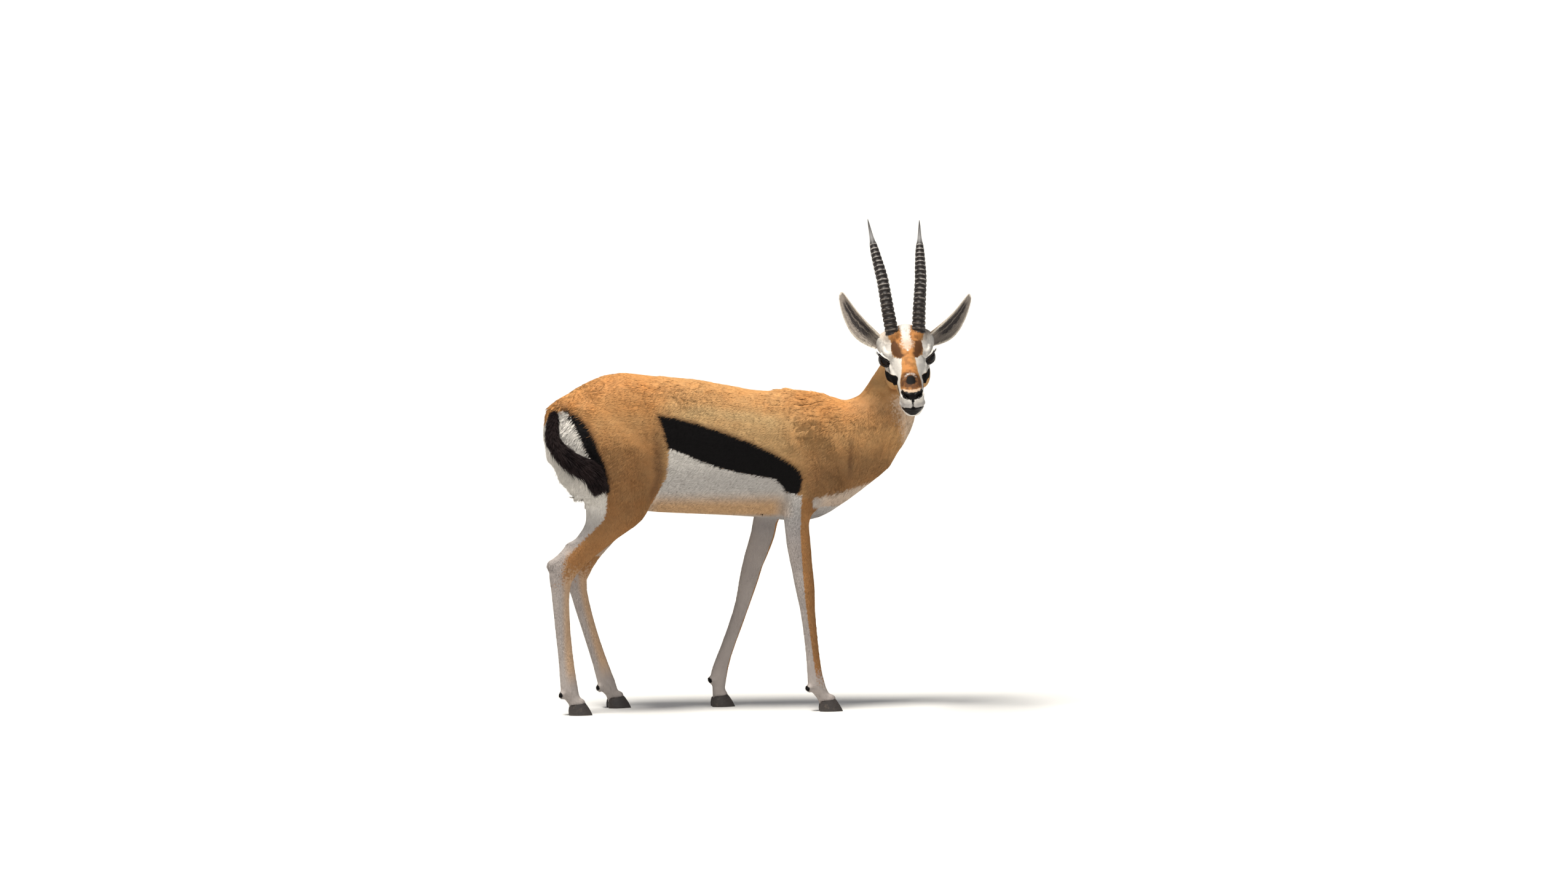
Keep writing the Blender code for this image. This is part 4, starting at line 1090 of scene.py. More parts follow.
# %% [markdown]
# ## Horns
# A horn is a sheath of keratin that grows in pulses. Each pulse leaves a ring: a blunt, shiny crest over a
# dark groove. The crest is painted pale, partly for wear and partly as a painted highlight where light
# catches it. The last fifth is smooth and tapers to a fine grey point. A loft of many sections along the
# horn's curve gives both, and the crest's height is stored for the finish to read.

# %% Model a horn
HORN_ROOT = Vector((-0.017, 0.0250, 0.041))
HORN_BASE_RADIUS = 0.0138
HORN_LENGTH = {"left": 0.232, "right": 0.241}
HORN_RINGS = 20
RINGED_SHARE = 0.80
HORN_SWEEP = ((0.0, 18.0), (0.3, 36.0), (0.6, 49.0), (0.8, 47.0), (1.0, 26.0))  # lean to the rear
HORN_SPREAD = {  # how far outwards along the horn
    "left": ((0.0, 0.0), (0.2, 0.0045), (0.47, 0.0125), (0.72, 0.0155), (1.0, 0.0195)),
    "right": ((0.0, 0.0), (0.2, 0.0060), (0.47, 0.0120), (0.72, 0.0220), (1.0, 0.0310)),
}
HORN_TAPER = (
    (-0.1, 1.0), (0.0, 1.0), (0.25, 0.92), (0.55, 0.83), (0.72, 0.66), (0.79, 0.51), (0.815, 0.38),
    (0.85, 0.29), (0.90, 0.215), (0.95, 0.14), (1.0, 0.04),
)
SECTIONS_A_RING = 8


def horn_sections(label, side):
    count = HORN_RINGS * SECTIONS_A_RING
    shares = [-0.035 + 0.035 * n / 3 for n in range(3)] + [RINGED_SHARE * n / count for n in range(count + 1)]
    shares += [RINGED_SHARE + (1 - RINGED_SHARE) * n / 16 for n in range(1, 17)]
    place, last = HORN_ROOT.copy(), 0.0
    rows = []
    for share in shares:
        lean = math.radians(between(HORN_SWEEP, share))
        step = (share - last) * HORN_LENGTH[label]
        last = share
        place += Vector((-math.sin(lean) * step, 0, math.cos(lean) * step))
        spread = between(HORN_SPREAD[label], share)
        phase = share / RINGED_SHARE * HORN_RINGS
        ringed = 0 < share < RINGED_SHARE
        crest = max(0.0, math.sin(math.pi * (phase % 1.0))) ** 0.75 if ringed else 0.0
        fading = 1 - 0.55 * float(ramp(0.62, 0.80, np.array(share)))
        radius = HORN_BASE_RADIUS * between(HORN_TAPER, share) * (1 - 0.145 * fading * (1 - crest) * ringed)
        rows.append((Vector((place.x, side * (place.y + spread), place.z)), radius, crest, share))
    return rows


def ringed_horn(label, side):
    rows = horn_sections(label, side)
    bm = bmesh.new()
    tint = bm.verts.layers.float_color.new("horn")
    rings = []
    for n, (place, radius, crest, share) in enumerate(rows):
        along = (rows[min(n + 1, len(rows) - 1)][0] - rows[max(n - 1, 0)][0]).normalized()
        out = along.cross(Vector((1, 0, 0))).normalized()
        ring = add_ring(bm, place, out, out.cross(along), radius, 1.15 * radius, 1.15 * radius, sides=32)
        for vert in {vert for edge in ring for vert in edge.verts}:
            vert[tint] = (crest, share, 0.0, 1.0)
        rings.append(ring)
    join_rings(bm, rings)
    bmesh.ops.transform(bm, matrix=HEAD_FRAME, verts=bm.verts)
    return mesh_of(f"ringed horn {label}", bm)


# %% Finish the horns
horn_group, w, given, result = new_group(
    "worn keratin", (("Ring", "NodeSocketColor"),),
    (("Colour", "NodeSocketColor"), ("Roughness", "NodeSocketFloat"), ("Height", "NodeSocketFloat")),
)
where = w.own_place()
parts = w.parts(given.outputs["Ring"])
grain_place = w.node("ShaderNodeMapping")
w.link(where, grain_place.inputs["Vector"])
grain_place.inputs["Scale"].default_value = (1.0, 1.0, 0.12)
grain = w.noise(grain_place.outputs[0], 900.0, 3.0, 0.6)
wear_and_glint = w.noise(where, 120.0, 3.0, 0.6)
# The pale crest is partly wear and partly a painted highlight where light catches the top of each ring.
crest = w.step(w.maths("MULTIPLY_ADD", w.maths("SUBTRACT", wear_and_glint, 0.5), 0.4, parts[0]), 0.90, 1.05)
tip = w.step(parts[1], 0.76, 0.86)
dark = w.mix(grain, (0.007, 0.005, 0.005, 1.0), (0.024, 0.018, 0.016, 1.0))
pale = w.mix(w.step(parts[1], 0.10, 0.60), (0.12, 0.100, 0.088, 1.0), (0.38, 0.355, 0.335, 1.0))
pale = w.mix(grain, pale, w.mix(0.5, pale, (0.30, 0.25, 0.20, 1.0)))
colour = w.mix(crest, dark, pale)
tip_colour = w.mix(w.step(parts[1], 0.84, 1.0), (0.26, 0.25, 0.245, 1.0), (0.06, 0.055, 0.052, 1.0))
colour = w.mix(tip, colour, tip_colour)
w.link(colour, result.inputs["Colour"])
w.link(w.maths("MULTIPLY_ADD", grain, 0.25, 0.30), result.inputs["Roughness"])
w.link(grain, result.inputs["Height"])
keratin, keratin_shader = principled("horn keratin", (0.1, 0.07, 0.05), 0.4)
wires = Wires(keratin.node_tree)
ring_in = wires.stored("horn")
group = wires.node("ShaderNodeGroup", node_tree=horn_group)
wires.link(ring_in.outputs["Color"], group.inputs["Ring"])
wires.link(group.outputs["Colour"], keratin_shader.inputs["Base Color"])
wires.link(group.outputs["Roughness"], keratin_shader.inputs["Roughness"])
wires.relief(group.outputs["Height"], 0.5, 0.0008, keratin_shader)
keratin_shader.inputs["Specular IOR Level"].default_value = 0.28
for label, side in SIDES.items():
    made = piece_of(f"ringed_horn_{label}", ringed_horn(label, side), keratin, (f"horn_{label}",))
    print(made.name, len(made.data.polygons), "faces")

# %% [markdown]
# ## Ears
# An ear is a thin leaf of cartilage, rolled at its root and open above. One flattened ring of points, bent
# to the ear's curl at each height, gives both faces and the round rim at once. A stored tint says which
# face a place is on, how far across and how far up it is.

# %% Model an ear
EAR_ROOT = Vector((-0.047, 0.0500, 0.022))
EAR_LENGTH = {"left": 0.120, "right": 0.121}
EAR_WALL = 0.0030
EAR_HALF_WIDTHS = (
    (0.0, 0.0120), (0.12, 0.0160), (0.28, 0.0195), (0.45, 0.0195), (0.60, 0.0172), (0.75, 0.0140),
    (0.88, 0.0100), (0.95, 0.0072), (0.985, 0.0045), (1.0, 0.0012),
)
EAR_BOW = 0.0105
EAR_SWING = {"left": 59.0, "right": 43.0}
EAR_LEAN = 28.0


def ear_matrix(label, side):
    place = Vector((EAR_ROOT.x, side * EAR_ROOT.y, EAR_ROOT.z))
    lean = turned("X", -side * EAR_SWING[label]) @ turned("Y", -EAR_LEAN)
    return HEAD_FRAME @ Matrix.Translation(place) @ lean @ turned("Z", side * 10)


EAR_OUTLINE = smooth_rows(EAR_HALF_WIDTHS)


def ear_place(label, side, across, share, lift=0.0):
    """A place on the ear: across from -1 to 1, share from root to tip, lift towards the hollow."""
    curl = math.radians(100 - 58 * share**0.7)
    radius = between(EAR_OUTLINE, share) / math.sin(min(curl, math.pi / 2))
    angle = across * curl
    sag = side * EAR_BOW * math.sin(math.pi * share)
    height = (share * 1.08 - 0.08) * EAR_LENGTH[label]
    reach = radius - lift
    depth = radius - reach * math.cos(angle) - 0.012 * share**2
    return Vector((depth, reach * math.sin(angle) + sag, height))


def ear_leaf(label, side):
    bm = bmesh.new()
    tint = bm.verts.layers.float_color.new("ear")
    rings = []
    for n in range(49):
        share = 1 - (1 - n / 48) ** 1.25
        verts = bmesh.ops.create_circle(bm, cap_ends=False, segments=56, radius=1.0)["verts"]
        wall = EAR_WALL * (1.25 - 0.75 * share) / 2
        for vert in verts:
            across, face = vert.co.x, math.copysign(abs(vert.co.y) ** 0.55, vert.co.y)
            vert[tint] = (0.5 + 0.5 * face, 0.5 + 0.5 * across, share, 1.0)
            vert.co = ear_place(label, side, across, share, face * wall)
        rings.append(edges_within(verts))
    join_rings(bm, rings)
    bmesh.ops.transform(bm, matrix=ear_matrix(label, side), verts=bm.verts)
    return mesh_of(f"ear leaf {label}", bm)


# %% Finish the ears
ear_group, w, given, result = new_group(
    "ear hair", (("Ear", "NodeSocketColor"),), (("Colour", "NodeSocketColor"), ("Height", "NodeSocketFloat"))
)
where = w.own_place()
face, across, share = w.parts(given.outputs["Ear"])
wave = w.maths("MULTIPLY", w.maths("SUBTRACT", w.noise(where, 90.0, 3.0, 0.6), 0.5), 0.20)
centred = w.maths("ADD", w.maths("SUBTRACT", across, 0.5), wave)
ridges = w.step(w.maths("COSINE", w.maths("MULTIPLY", centred, 28.0)), 0.55, 0.95)
dark = w.step(w.maths("ABSOLUTE", centred), 0.30, 0.20)
dark = w.maths("MULTIPLY", dark, w.maths("MULTIPLY_ADD", ridges, -0.62, 1.0))
dark = w.maths("MULTIPLY", dark, w.step(share, 0.10, 0.30))
dark = w.maths("MULTIPLY", dark, w.step(share, 0.93, 0.80))
inner = w.mix(w.noise(where, 260.0, 3.0, 0.6), (0.20, 0.16, 0.13, 1.0), (0.36, 0.31, 0.265, 1.0))
inner = w.mix(dark, inner, (0.022, 0.015, 0.014, 1.0))
rim = w.maths("ABSOLUTE", w.maths("SUBTRACT", across, 0.5))
rim_share = w.maths("MAXIMUM", w.step(rim, 0.435, 0.475), w.step(share, 0.965, 0.99))
outer = w.mix(w.noise(where, 40.0, 3.0), (0.44, 0.27, 0.14, 1.0), (0.50, 0.33, 0.19, 1.0))
colour = w.mix(w.step(face, 0.35, 0.65), outer, inner)
colour = w.mix(rim_share, colour, (0.72, 0.65, 0.55, 1.0))
w.link(colour, result.inputs["Colour"])
w.link(w.noise(where, 700.0, 2.0, 0.6), result.inputs["Height"])
ear_finish, ear_shader = principled("ear skin and hair", (0.4, 0.3, 0.2), 0.65)
wires = Wires(ear_finish.node_tree)
ear_in = wires.stored("ear")
group = wires.node("ShaderNodeGroup", node_tree=ear_group)
wires.link(ear_in.outputs["Color"], group.inputs["Ear"])
wires.link(group.outputs["Colour"], ear_shader.inputs["Base Color"])
wires.relief(group.outputs["Height"], 0.5, 0.0008, ear_shader)
ear_hair_finish, ear_hair_shader = principled("ear hair tips", (0.4, 0.3, 0.2), 0.6)
wires = Wires(ear_hair_finish.node_tree)
ear_in = wires.stored("ear")
group = wires.node("ShaderNodeGroup", node_tree=ear_group)
wires.link(ear_in.outputs["Color"], group.inputs["Ear"])
strand = wires.parts(wires.stored("hair").outputs["Color"])
sheen = wires.maths("MULTIPLY", strand[0], 0.55)
silvery = wires.mix(sheen, group.outputs["Colour"], (0.62, 0.55, 0.46, 1.0))
wires.link(silvery, ear_hair_shader.inputs["Base Color"])
ears = {}
for label, side in SIDES.items():
    ears[label] = piece_of(f"ear_leaf_{label}", ear_leaf(label, side), ear_finish, (f"ear_{label}",))
    print(ears[label].name, len(ears[label].data.polygons), "faces")

# %% [markdown]
# ## Eyes
# The eye is a moist dark globe with a clear bulge over a brown iris and a wide level pupil. A ball pushed
# out at the front gives the bulge, and its stored tint gives the way from the middle of the gaze. A thin
# round rim of bare black skin closes the lids over it, and the upper lid carries lashes.

# %% Model an eyeball and the rims of its lids
CORNEA = 0.0009


def eyeball(label):
    bm = bmesh.new()
    bmesh.ops.create_uvsphere(bm, u_segments=64, v_segments=40, radius=EYE_RADIUS)
    gaze = bm.verts.layers.float_color.new("gaze")
    for vert in bm.verts:
        turn = vert.co.normalized()
        off = math.acos(max(-1.0, min(1.0, turn.z)))
        vert.co *= 1 + CORNEA / EYE_RADIUS * max(0.0, 1 - (off / math.radians(50)) ** 2)
        vert[gaze] = (off / math.pi, 0.5 + 0.5 * turn.x, 0.5 + 0.5 * turn.y, 1.0)
    bmesh.ops.transform(bm, matrix=EYES[label] @ turned("Y", 90), verts=bm.verts)
    return mesh_of(f"eyeball {label}", bm)


def lid_point(side, turn, share, radius):
    """A place in the eye's frame on the lids' opening, enlarged by the share, at this turn round it."""
    across, rise = math.cos(turn), math.sin(turn)
    reach_u = LID_FRONT if across > 0 else LID_REAR
    reach_v = LID_UP if rise > 0 else LID_DOWN
    u = share * reach_u * math.copysign(abs(across) ** (2 / 2.1), across)
    v = share * reach_v * math.copysign(abs(rise) ** (2 / 1.9), rise) - LID_SLANT * u
    bearing, height = u / EYE_RADIUS, v / EYE_RADIUS
    flat = math.cos(height)
    return radius * Vector((math.cos(bearing) * flat, -side * math.sin(bearing) * flat, math.sin(height)))


def lid_rims(label, side):
    count = 72
    path = [lid_point(side, 2 * math.pi * n / count, 1.0, EYE_RADIUS + 0.0007) for n in range(count)]
    bm = tube_along(path, [0.0018] * count, [0.0018] * count, Vector((1, 0, 0)), sides=10, closed=True)
    bmesh.ops.transform(bm, matrix=EYES[label], verts=bm.verts)
    return mesh_of(f"lid rims {label}", bm)


# %% Finish and place the eyes
eye_finish, eye_shader = principled("eye", (0.012, 0.007, 0.005), 0.06)
wires = Wires(eye_finish.node_tree)
split = wires.parts(wires.stored("gaze").outputs["Color"])
where = wires.own_place()
streaks = wires.noise(where, 900.0, 3.0, 0.7)
iris = wires.mix(streaks, (0.006, 0.003, 0.002, 1.0), (0.016, 0.008, 0.004, 1.0))
level = wires.maths("ABSOLUTE", wires.maths("SUBTRACT", split[1], 0.5))
wide = wires.maths("ABSOLUTE", wires.maths("SUBTRACT", split[2], 0.5))
pupil = wires.maths("MULTIPLY", wires.step(level, 0.15, 0.11), wires.step(wide, 0.25, 0.20))
iris = wires.mix(pupil, iris, (0.002, 0.002, 0.003, 1.0))
eye_colour = wires.mix(wires.step(split[0], 0.27, 0.30), iris, (0.010, 0.007, 0.006, 1.0))
wires.link(eye_colour, eye_shader.inputs["Base Color"])
eye_shader.inputs["Specular IOR Level"].default_value = 0.0
eye_shader.inputs["Coat Weight"].default_value = 0.45
eye_shader.inputs["Coat Roughness"].default_value = 0.02
eye_shader.inputs["Coat IOR"].default_value = 1.34
lid_finish, lid_shader = principled("moist black skin", (0.010, 0.008, 0.008), 0.32)
wires = Wires(lid_finish.node_tree)
where = wires.own_place()
grain = wires.noise(where, 1500.0, 2.0, 0.5)
wires.relief(grain, 0.4, 0.0003, lid_shader)
lid_colour = wires.mix(grain, (0.008, 0.006, 0.006, 1.0), (0.022, 0.017, 0.016, 1.0))
wires.link(lid_colour, lid_shader.inputs["Base Color"])
for label, side in SIDES.items():
    piece_of(f"eyeball_{label}", eyeball(label), eye_finish, (f"eye_{label}",))
    piece_of(f"lid_rims_{label}", lid_rims(label, side), lid_finish)

# %% [markdown]
# ## Tail
# A thin fleshy tail carries long black hair, thickest towards the end. A tapered tube gives the core, and
# locks laid over it later give the hair.

# %% Model the tail's core
TAIL_PATH = (
    (-0.318, 0.000, 0.584, 0.012), (-0.334, -0.016, 0.584, 0.013), (-0.3435, -0.036, 0.5715, 0.0135),
    (-0.3480, -0.060, 0.547, 0.014), (-0.3385, -0.078, 0.525, 0.0145), (-0.3170, -0.0930, 0.5035, 0.0150),
    (-0.2870, -0.1035, 0.4850, 0.0155), (-0.2705, -0.1065, 0.4630, 0.0140),
    (-0.2640, -0.1080, 0.4480, 0.0080),
)
tail_rows = smooth_rows(TAIL_PATH, steps=6)
tail_line = [Vector(row[:3]) + SHIFT for row in tail_rows]
tail_sizes = [row[3] for row in tail_rows]
tail_bm = tube_along(tail_line, tail_sizes, tail_sizes, Vector((0, -1, 0.2)), sides=20)
tail_mesh = mesh_of("tail core", tail_bm)
black_hair, black_shader = principled("black hair", (0.014, 0.010, 0.010), 0.6)
black_shader.inputs["Specular IOR Level"].default_value = 0.10
wires = Wires(black_hair.node_tree)
where = wires.own_place()
strand = wires.parts(wires.stored("hair").outputs["Color"])
sooty = wires.mix(strand[0], (0.006, 0.004, 0.004, 1.0), (0.034, 0.022, 0.022, 1.0))
sooty = wires.mix(wires.step(wires.noise(where, 60.0, 2.0), 0.35, 0.75), sooty, (0.012, 0.008, 0.009, 1.0))
wires.link(sooty, black_shader.inputs["Base Color"])
tail_core = piece_of("tail_core", tail_mesh, black_hair, ("tail",))
print("tail core", len(tail_mesh.polygons), "faces")

# %% [markdown]
# ## Hooves
# Each foot stands on two slim claws with flat soles. The wall slopes forward to a pointed toe, bulges a
# little above the sole and is striped with fine growth lines. The claws are lofts of level rings.

# %% Model the claws
HOOF_LENGTH, HOOF_WIDTH, HOOF_HEIGHT = 0.046, 0.0165, 0.024
CLAW_SPACING = 0.0095
TOE_TURN = {  # degrees
    "fore_shank_left": 0.0, "fore_shank_right": -4.0, "hind_shank_left": 5.0, "hind_shank_right": -5.0,
}
HOOF_ROWS = (  # share of the height, share of the width
    (0.0, 0.975), (0.02, 1.0), (0.12, 0.985), (0.3, 0.94), (0.45, 0.90), (0.7, 0.80), (0.9, 0.71),
    (1.0, 0.64),
)


def claw(bm, place, turn, inner):
    rings = []
    for height, stretch in HOOF_ROWS:
        verts = bmesh.ops.create_circle(bm, cap_ends=False, segments=40, radius=1.0)["verts"]
        for vert in verts:
            toe = (vert.co.x + 1) / 2
            half_width = HOOF_WIDTH / 2 * stretch * (1 - 0.45 * toe**2.2)
            pull = -inner * 0.003 * toe**2
            x = vert.co.x * HOOF_LENGTH / 2 * stretch - 0.26 * HOOF_LENGTH * height * 0.55 + 0.006
            z = height * HOOF_HEIGHT * (1 - 0.25 * (1 - toe))
            vert.co = (x, vert.co.y * half_width + pull + inner * CLAW_SPACING, z)
        rings.append(edges_within(verts))
        bmesh.ops.transform(bm, matrix=Matrix.Translation(place) @ turned("Z", turn), verts=verts)
    for first, second in zip(rings, rings[1:]):
        bmesh.ops.bridge_loops(bm, edges=first + second)
    bmesh.ops.holes_fill(bm, edges=[edge for edge in bm.edges if edge.is_boundary], sides=0)


hoof_finish, hoof_shader = principled("hoof horn", (0.03, 0.024, 0.022), 0.42)
wires = Wires(hoof_finish.node_tree)
where = wires.own_place()
lines = wires.node("ShaderNodeMapping")
wires.link(where, lines.inputs["Vector"])
lines.inputs["Scale"].default_value = (0.25, 0.25, 1.0)
growth = wires.noise(lines.outputs[0], 700.0, 2.0, 0.5)
dusty = wires.noise(where, 90.0, 3.0, 0.6)
horn_colour = wires.mix(growth, (0.018, 0.014, 0.013, 1.0), (0.055, 0.044, 0.038, 1.0))
horn_colour = wires.mix(wires.step(dusty, 0.55, 0.80, 0.0, 0.5), horn_colour, (0.20, 0.15, 0.11, 1.0))
wires.link(horn_colour, hoof_shader.inputs["Base Color"])
wires.relief(growth, 0.5, 0.0006, hoof_shader)
for name, middle, _ in feet:
    turn = TOE_TURN[name]
    place = Vector((middle.x, middle.y, 0)) - turned("Z", turn) @ Vector((0.006, 0, 0))
    bm = bmesh.new()
    for inner in (1, -1):
        claw(bm, place, turn, inner)
    bmesh.ops.recalc_face_normals(bm, faces=bm.faces)
    foot = name.replace("_shank", "")
    stands_for = [name.replace("shank", "hoof") + end for end in ("_inner", "_outer")]
    made = piece_of(f"claws_{foot}", mesh_of(f"claws {foot}", bm), hoof_finish, stands_for)
    made.data.set_sharp_from_angle(angle=math.radians(50))
print("claws on", len(feet), "feet")

# %% [markdown]
# ## The coat
# Every hair can't be modelled, so the coat is small solid tufts: four triangles each, a keeled blade that is
# wide at its root and pointed at its tip. They overlap like tiles and lie along the body, from the nose back
# and from the spine down. Neighbours lean together into locks, which gives the ruffled back and shoulders.
# The skin is unwrapped once, and every tuft keeps a small patch of that map at its root's place.

# %% Unwrap a surface and sow roots on it


class Ground:
    """A surface that hair grows from: its triangles, its map, and ways to read it at the roots."""

    def __init__(self, obj):
        bpy.ops.object.select_all(action="DESELECT")
        bpy.context.view_layer.objects.active = obj
        obj.select_set(True)
        mesh = obj.data
        mesh.uv_layers.new(name="OFBake")
        bpy.ops.object.mode_set(mode="EDIT")
        bpy.ops.mesh.select_all(action="SELECT")
        bpy.ops.uv.smart_project(angle_limit=math.radians(66), island_margin=0.002)
        bpy.ops.object.mode_set(mode="OBJECT")
        obj.select_set(False)
        mesh.calc_loop_triangles()
        loops = read_vectors(mesh.loop_triangles, "loops").astype(int)
        self.corners = read_vectors(mesh.loop_triangles, "vertices").astype(int)
        self.places = read_vectors(mesh.vertices, "co")
        self.normals = read_vectors(mesh.vertex_normals, "vector")
        self.charts = read_vectors(mesh.uv_layers["OFBake"].uv, "vector", 2)[loops]
        first, second = (self.places[self.corners[:, n]] - self.places[self.corners[:, 0]] for n in (1, 2))
        self.areas = np.linalg.norm(np.cross(first, second), axis=1) / 2
        self.middles = self.places[self.corners].mean(axis=1)
        self.mesh = mesh

    def sow(self, wanted, seed):
        """Spreads roots over the triangles; wanted is how many each should carry, fractions allowed."""
        rng = np.random.default_rng(seed)
        total = np.cumsum(wanted)
        count = int(total[-1])
        stations = (np.arange(count) + rng.random(count)) * total[-1] / count
        self.face = np.minimum(np.searchsorted(total, stations), len(wanted) - 1)
        a, b = rng.random(count), rng.random(count)
        over = a + b > 1
        a, b = np.where(over, 1 - a, a), np.where(over, 1 - b, b)
        self.weights = np.column_stack((1 - a - b, a, b))
        self.roots, self.outs = self.at_roots(self.places), unit(self.at_roots(self.normals))
        self.root_charts = np.einsum("nk,nkd->nd", self.weights, self.charts[self.face])
        return count, rng

    def at_roots(self, values):
        return np.einsum("nk,nkd->nd", self.weights, values[self.corners[self.face]])

    def colours(self, name):
        return read_vectors(self.mesh.attributes[name].data, "color", 4)


skin_ground = Ground(skin)
print("skin area", round(float(skin_ground.areas.sum()), 3), "square metres")

# %% Find each root's clump


def clumps(places, size, seed):
    """The nearest of many scattered centres about this far apart, its distance, and a number of its own."""
    cell = places / size + 1000.0
    low = np.floor(cell).astype(np.int64)
    best = np.full(len(places), 1e9)
    centre = np.zeros_like(places)
    own = np.zeros(len(places))
    for n in range(27):
        at = low + np.array((n % 3 - 1, n // 3 % 3 - 1, n // 9 - 1))
        mixed = (at[:, 0] * 73856093) ^ (at[:, 1] * 19349663) ^ (at[:, 2] * 83492791) ^ (seed * 2654435761)
        parts = []
        for turn in range(4):
            mixed = ((mixed ^ (mixed >> 13)) * 1274126177 + turn) & 0x7FFFFFFF
            parts.append(((mixed ^ (mixed >> 15)) & 0xFFFF) / 65535.0)
        spot = at + np.column_stack(parts[:3])
        gap = np.linalg.norm(spot - cell, axis=1)
        closer = gap < best
        best = np.where(closer, gap, best)
        centre = np.where(closer[:, None], (spot - 1000.0) * size, centre)
        own = np.where(closer, parts[3], own)
    return centre, best * size, own


# %% Say how the coat lies
NECK_LIE = (-0.34, 0.30, -0.89)


def flat_to(normals, directions):
    """Directions pressed flat to the skin, one unit long."""
    return unit(directions - normals * np.sum(normals * directions, axis=1)[:, None])


def coat_lie(places, normals):
    drawn = places - np.array(SHIFT)
    x, y, z = drawn.T
    side = np.where(y > 0, 1.0, -1.0)
    lie = np.column_stack((np.full(len(x), -1.0), 0.10 * side, -0.28 - 0.35 * ramp(0.60, 0.46, z)))

    def turn_to(share, direction):
        nonlocal lie
        lie = lie + (np.array(direction) - lie) * share[:, None]

    turn_to(ramp(0.09, 0.17, x) * ramp(0.60, 0.50, z), (-0.62, 0.0, -0.78))
    turn_to(ramp(-0.12, -0.20, x) * ramp(0.60, 0.48, z), (-0.45, 0.0, -0.90))
    turn_to(ramp(-0.27, -0.33, x), (-0.42, 0.0, -0.90))
    turn_to(ramp(0.20, 0.29, x) * ramp(0.50, 0.57, z), NECK_LIE)
    turn_to(ramp(0.44, 0.37, z), (-0.12, 0.0, -1.0))
    wave = np.column_stack([value_noise(places, 0.055, seed) - 0.5 for seed in (11, 12, 13)])
    ripple = np.column_stack([value_noise(places, 0.017, seed) - 0.5 for seed in (14, 15, 16)])
    ruffled = (0.35 + 0.65 * ramp(0.50, 0.60, z)) * ramp(0.40, 0.46, z)
    lie = lie + 0.42 * wave * ruffled[:, None] + 0.50 * ripple * ruffled[:, None]
    local = into(HEAD_FRAME, places)
    hx, hy, hz = local.T
    toward = np.column_stack(
        (
            np.full(len(hx), -1.0),
            0.30 * np.sign(hy) * ramp(0.0, 0.02, np.abs(hy)),
            0.10 + 0.5 * ramp(0.02, 0.045, hz) - 0.45 * ramp(-0.02, -0.05, hz),
        )
    )
    toward = toward @ np.array(HEAD_FRAME.to_3x3()).T
    lie = lie + (toward - lie) * head_share(places)[:, None]
    return flat_to(normals, lie)


def coat_form(places):
    """Length, width, lift, how strongly neighbours lean together and how far apart the locks are."""
    drawn = places - np.array(SHIFT)
    x, _, z = drawn.T
    local = into(HEAD_FRAME, places)
    head = head_share(places)
    leg = ramp(0.44, 0.34, z)
    rear = ramp(-0.28, -0.335, x) * ramp(0.38, 0.44, z)
    back = ramp(0.565, 0.625, z) * (1 - ramp(0.22, 0.30, x))
    shoulder = ramp(0.06, 0.14, x) * ramp(0.27, 0.20, x) * ramp(0.50, 0.55, z)
    ruffle = ramp(0.44, 0.62, value_noise(places, 0.034, 17))
    length = 0.0115 + 0.0025 * back + 0.0040 * shoulder + 0.0045 * rear
    lift = 0.050 + (0.02 + 0.09 * ruffle) * back + (0.03 + 0.09 * ruffle) * shoulder + 0.12 * rear
    pull = 0.35 + 0.35 * back * ruffle + 0.40 * shoulder
    length += (0.0055 - 0.0016 * ramp(0.15, 0.05, z) - length) * leg
    lift += (0.02 - lift) * leg
    pull += (0.10 - pull) * leg
    hx, hz = local[:, 0], local[:, 2]
    face = 0.0030 + 0.0016 * ramp(0.02, -0.03, hx)
    face += 0.0028 * ramp(0.034, 0.046, hz)
    face -= 0.0010 * ramp(0.09, 0.12, hx)
    length += (face - length) * head
    lift += (0.10 + 0.16 * ramp(0.034, 0.046, hz) - lift) * head
    pull += (0.20 - pull) * head
    width = np.clip(0.15 * length, 0.00062, 0.0017) * (1 + 0.08 * np.maximum(leg, head))
    creased = np.clip(back * ruffle + shoulder, 0, 1) * (1 - leg) * (1 - head)
    return length, width, lift, pull, creased


def root_density(places, touch):
    """Roots for each square metre."""
    z = places[:, 2]
    head = head_share(places)
    leg = ramp(0.44, 0.34, z)
    dense = 410_000 + (355_000 - 410_000) * leg
    dense = dense + (1_150_000 - dense) * head
    local = into(HEAD_FRAME, places)
    buried = np.hypot(local[:, 0] + 0.017, np.abs(local[:, 1]) - 0.025) < 0.0105
    bare = (touch[:, 0] > 0.3) | (buried & (local[:, 2] > 0.036) & (head > 0.5))
    return np.where(bare, 0.0, dense)


# %% Shape the tufts
TUFT_FACES = np.array(((0, 1, 3), (0, 2, 1), (1, 2, 3), (0, 3, 2)))
TUFT_CHART = np.array(((0, 0), (1, 0), (0.5, 0.35), (0.5, 1))) - 0.5
CHART_SIZE = 0.003
ROOT_DEPTH = 0.0003


def blades(root, lie, out, length, width, lift, lean):
    """Four corners for each tuft: two at the root, the keel and the tip."""
    across = np.cross(out, lie)
    rise = np.sin(lift)
    keel = root + lie * (0.42 * length)[:, None]
    keel += out * (0.46 * length * rise + 0.30 * width)[:, None]
    keel += 0.35 * lean
    tip = root + lie * length[:, None] + out * (0.80 * length * rise)[:, None] + lean
    low = root - out * ROOT_DEPTH
    half = across * (width / 2)[:, None]
    return np.stack((low - half, low + half, keel, tip), axis=1)


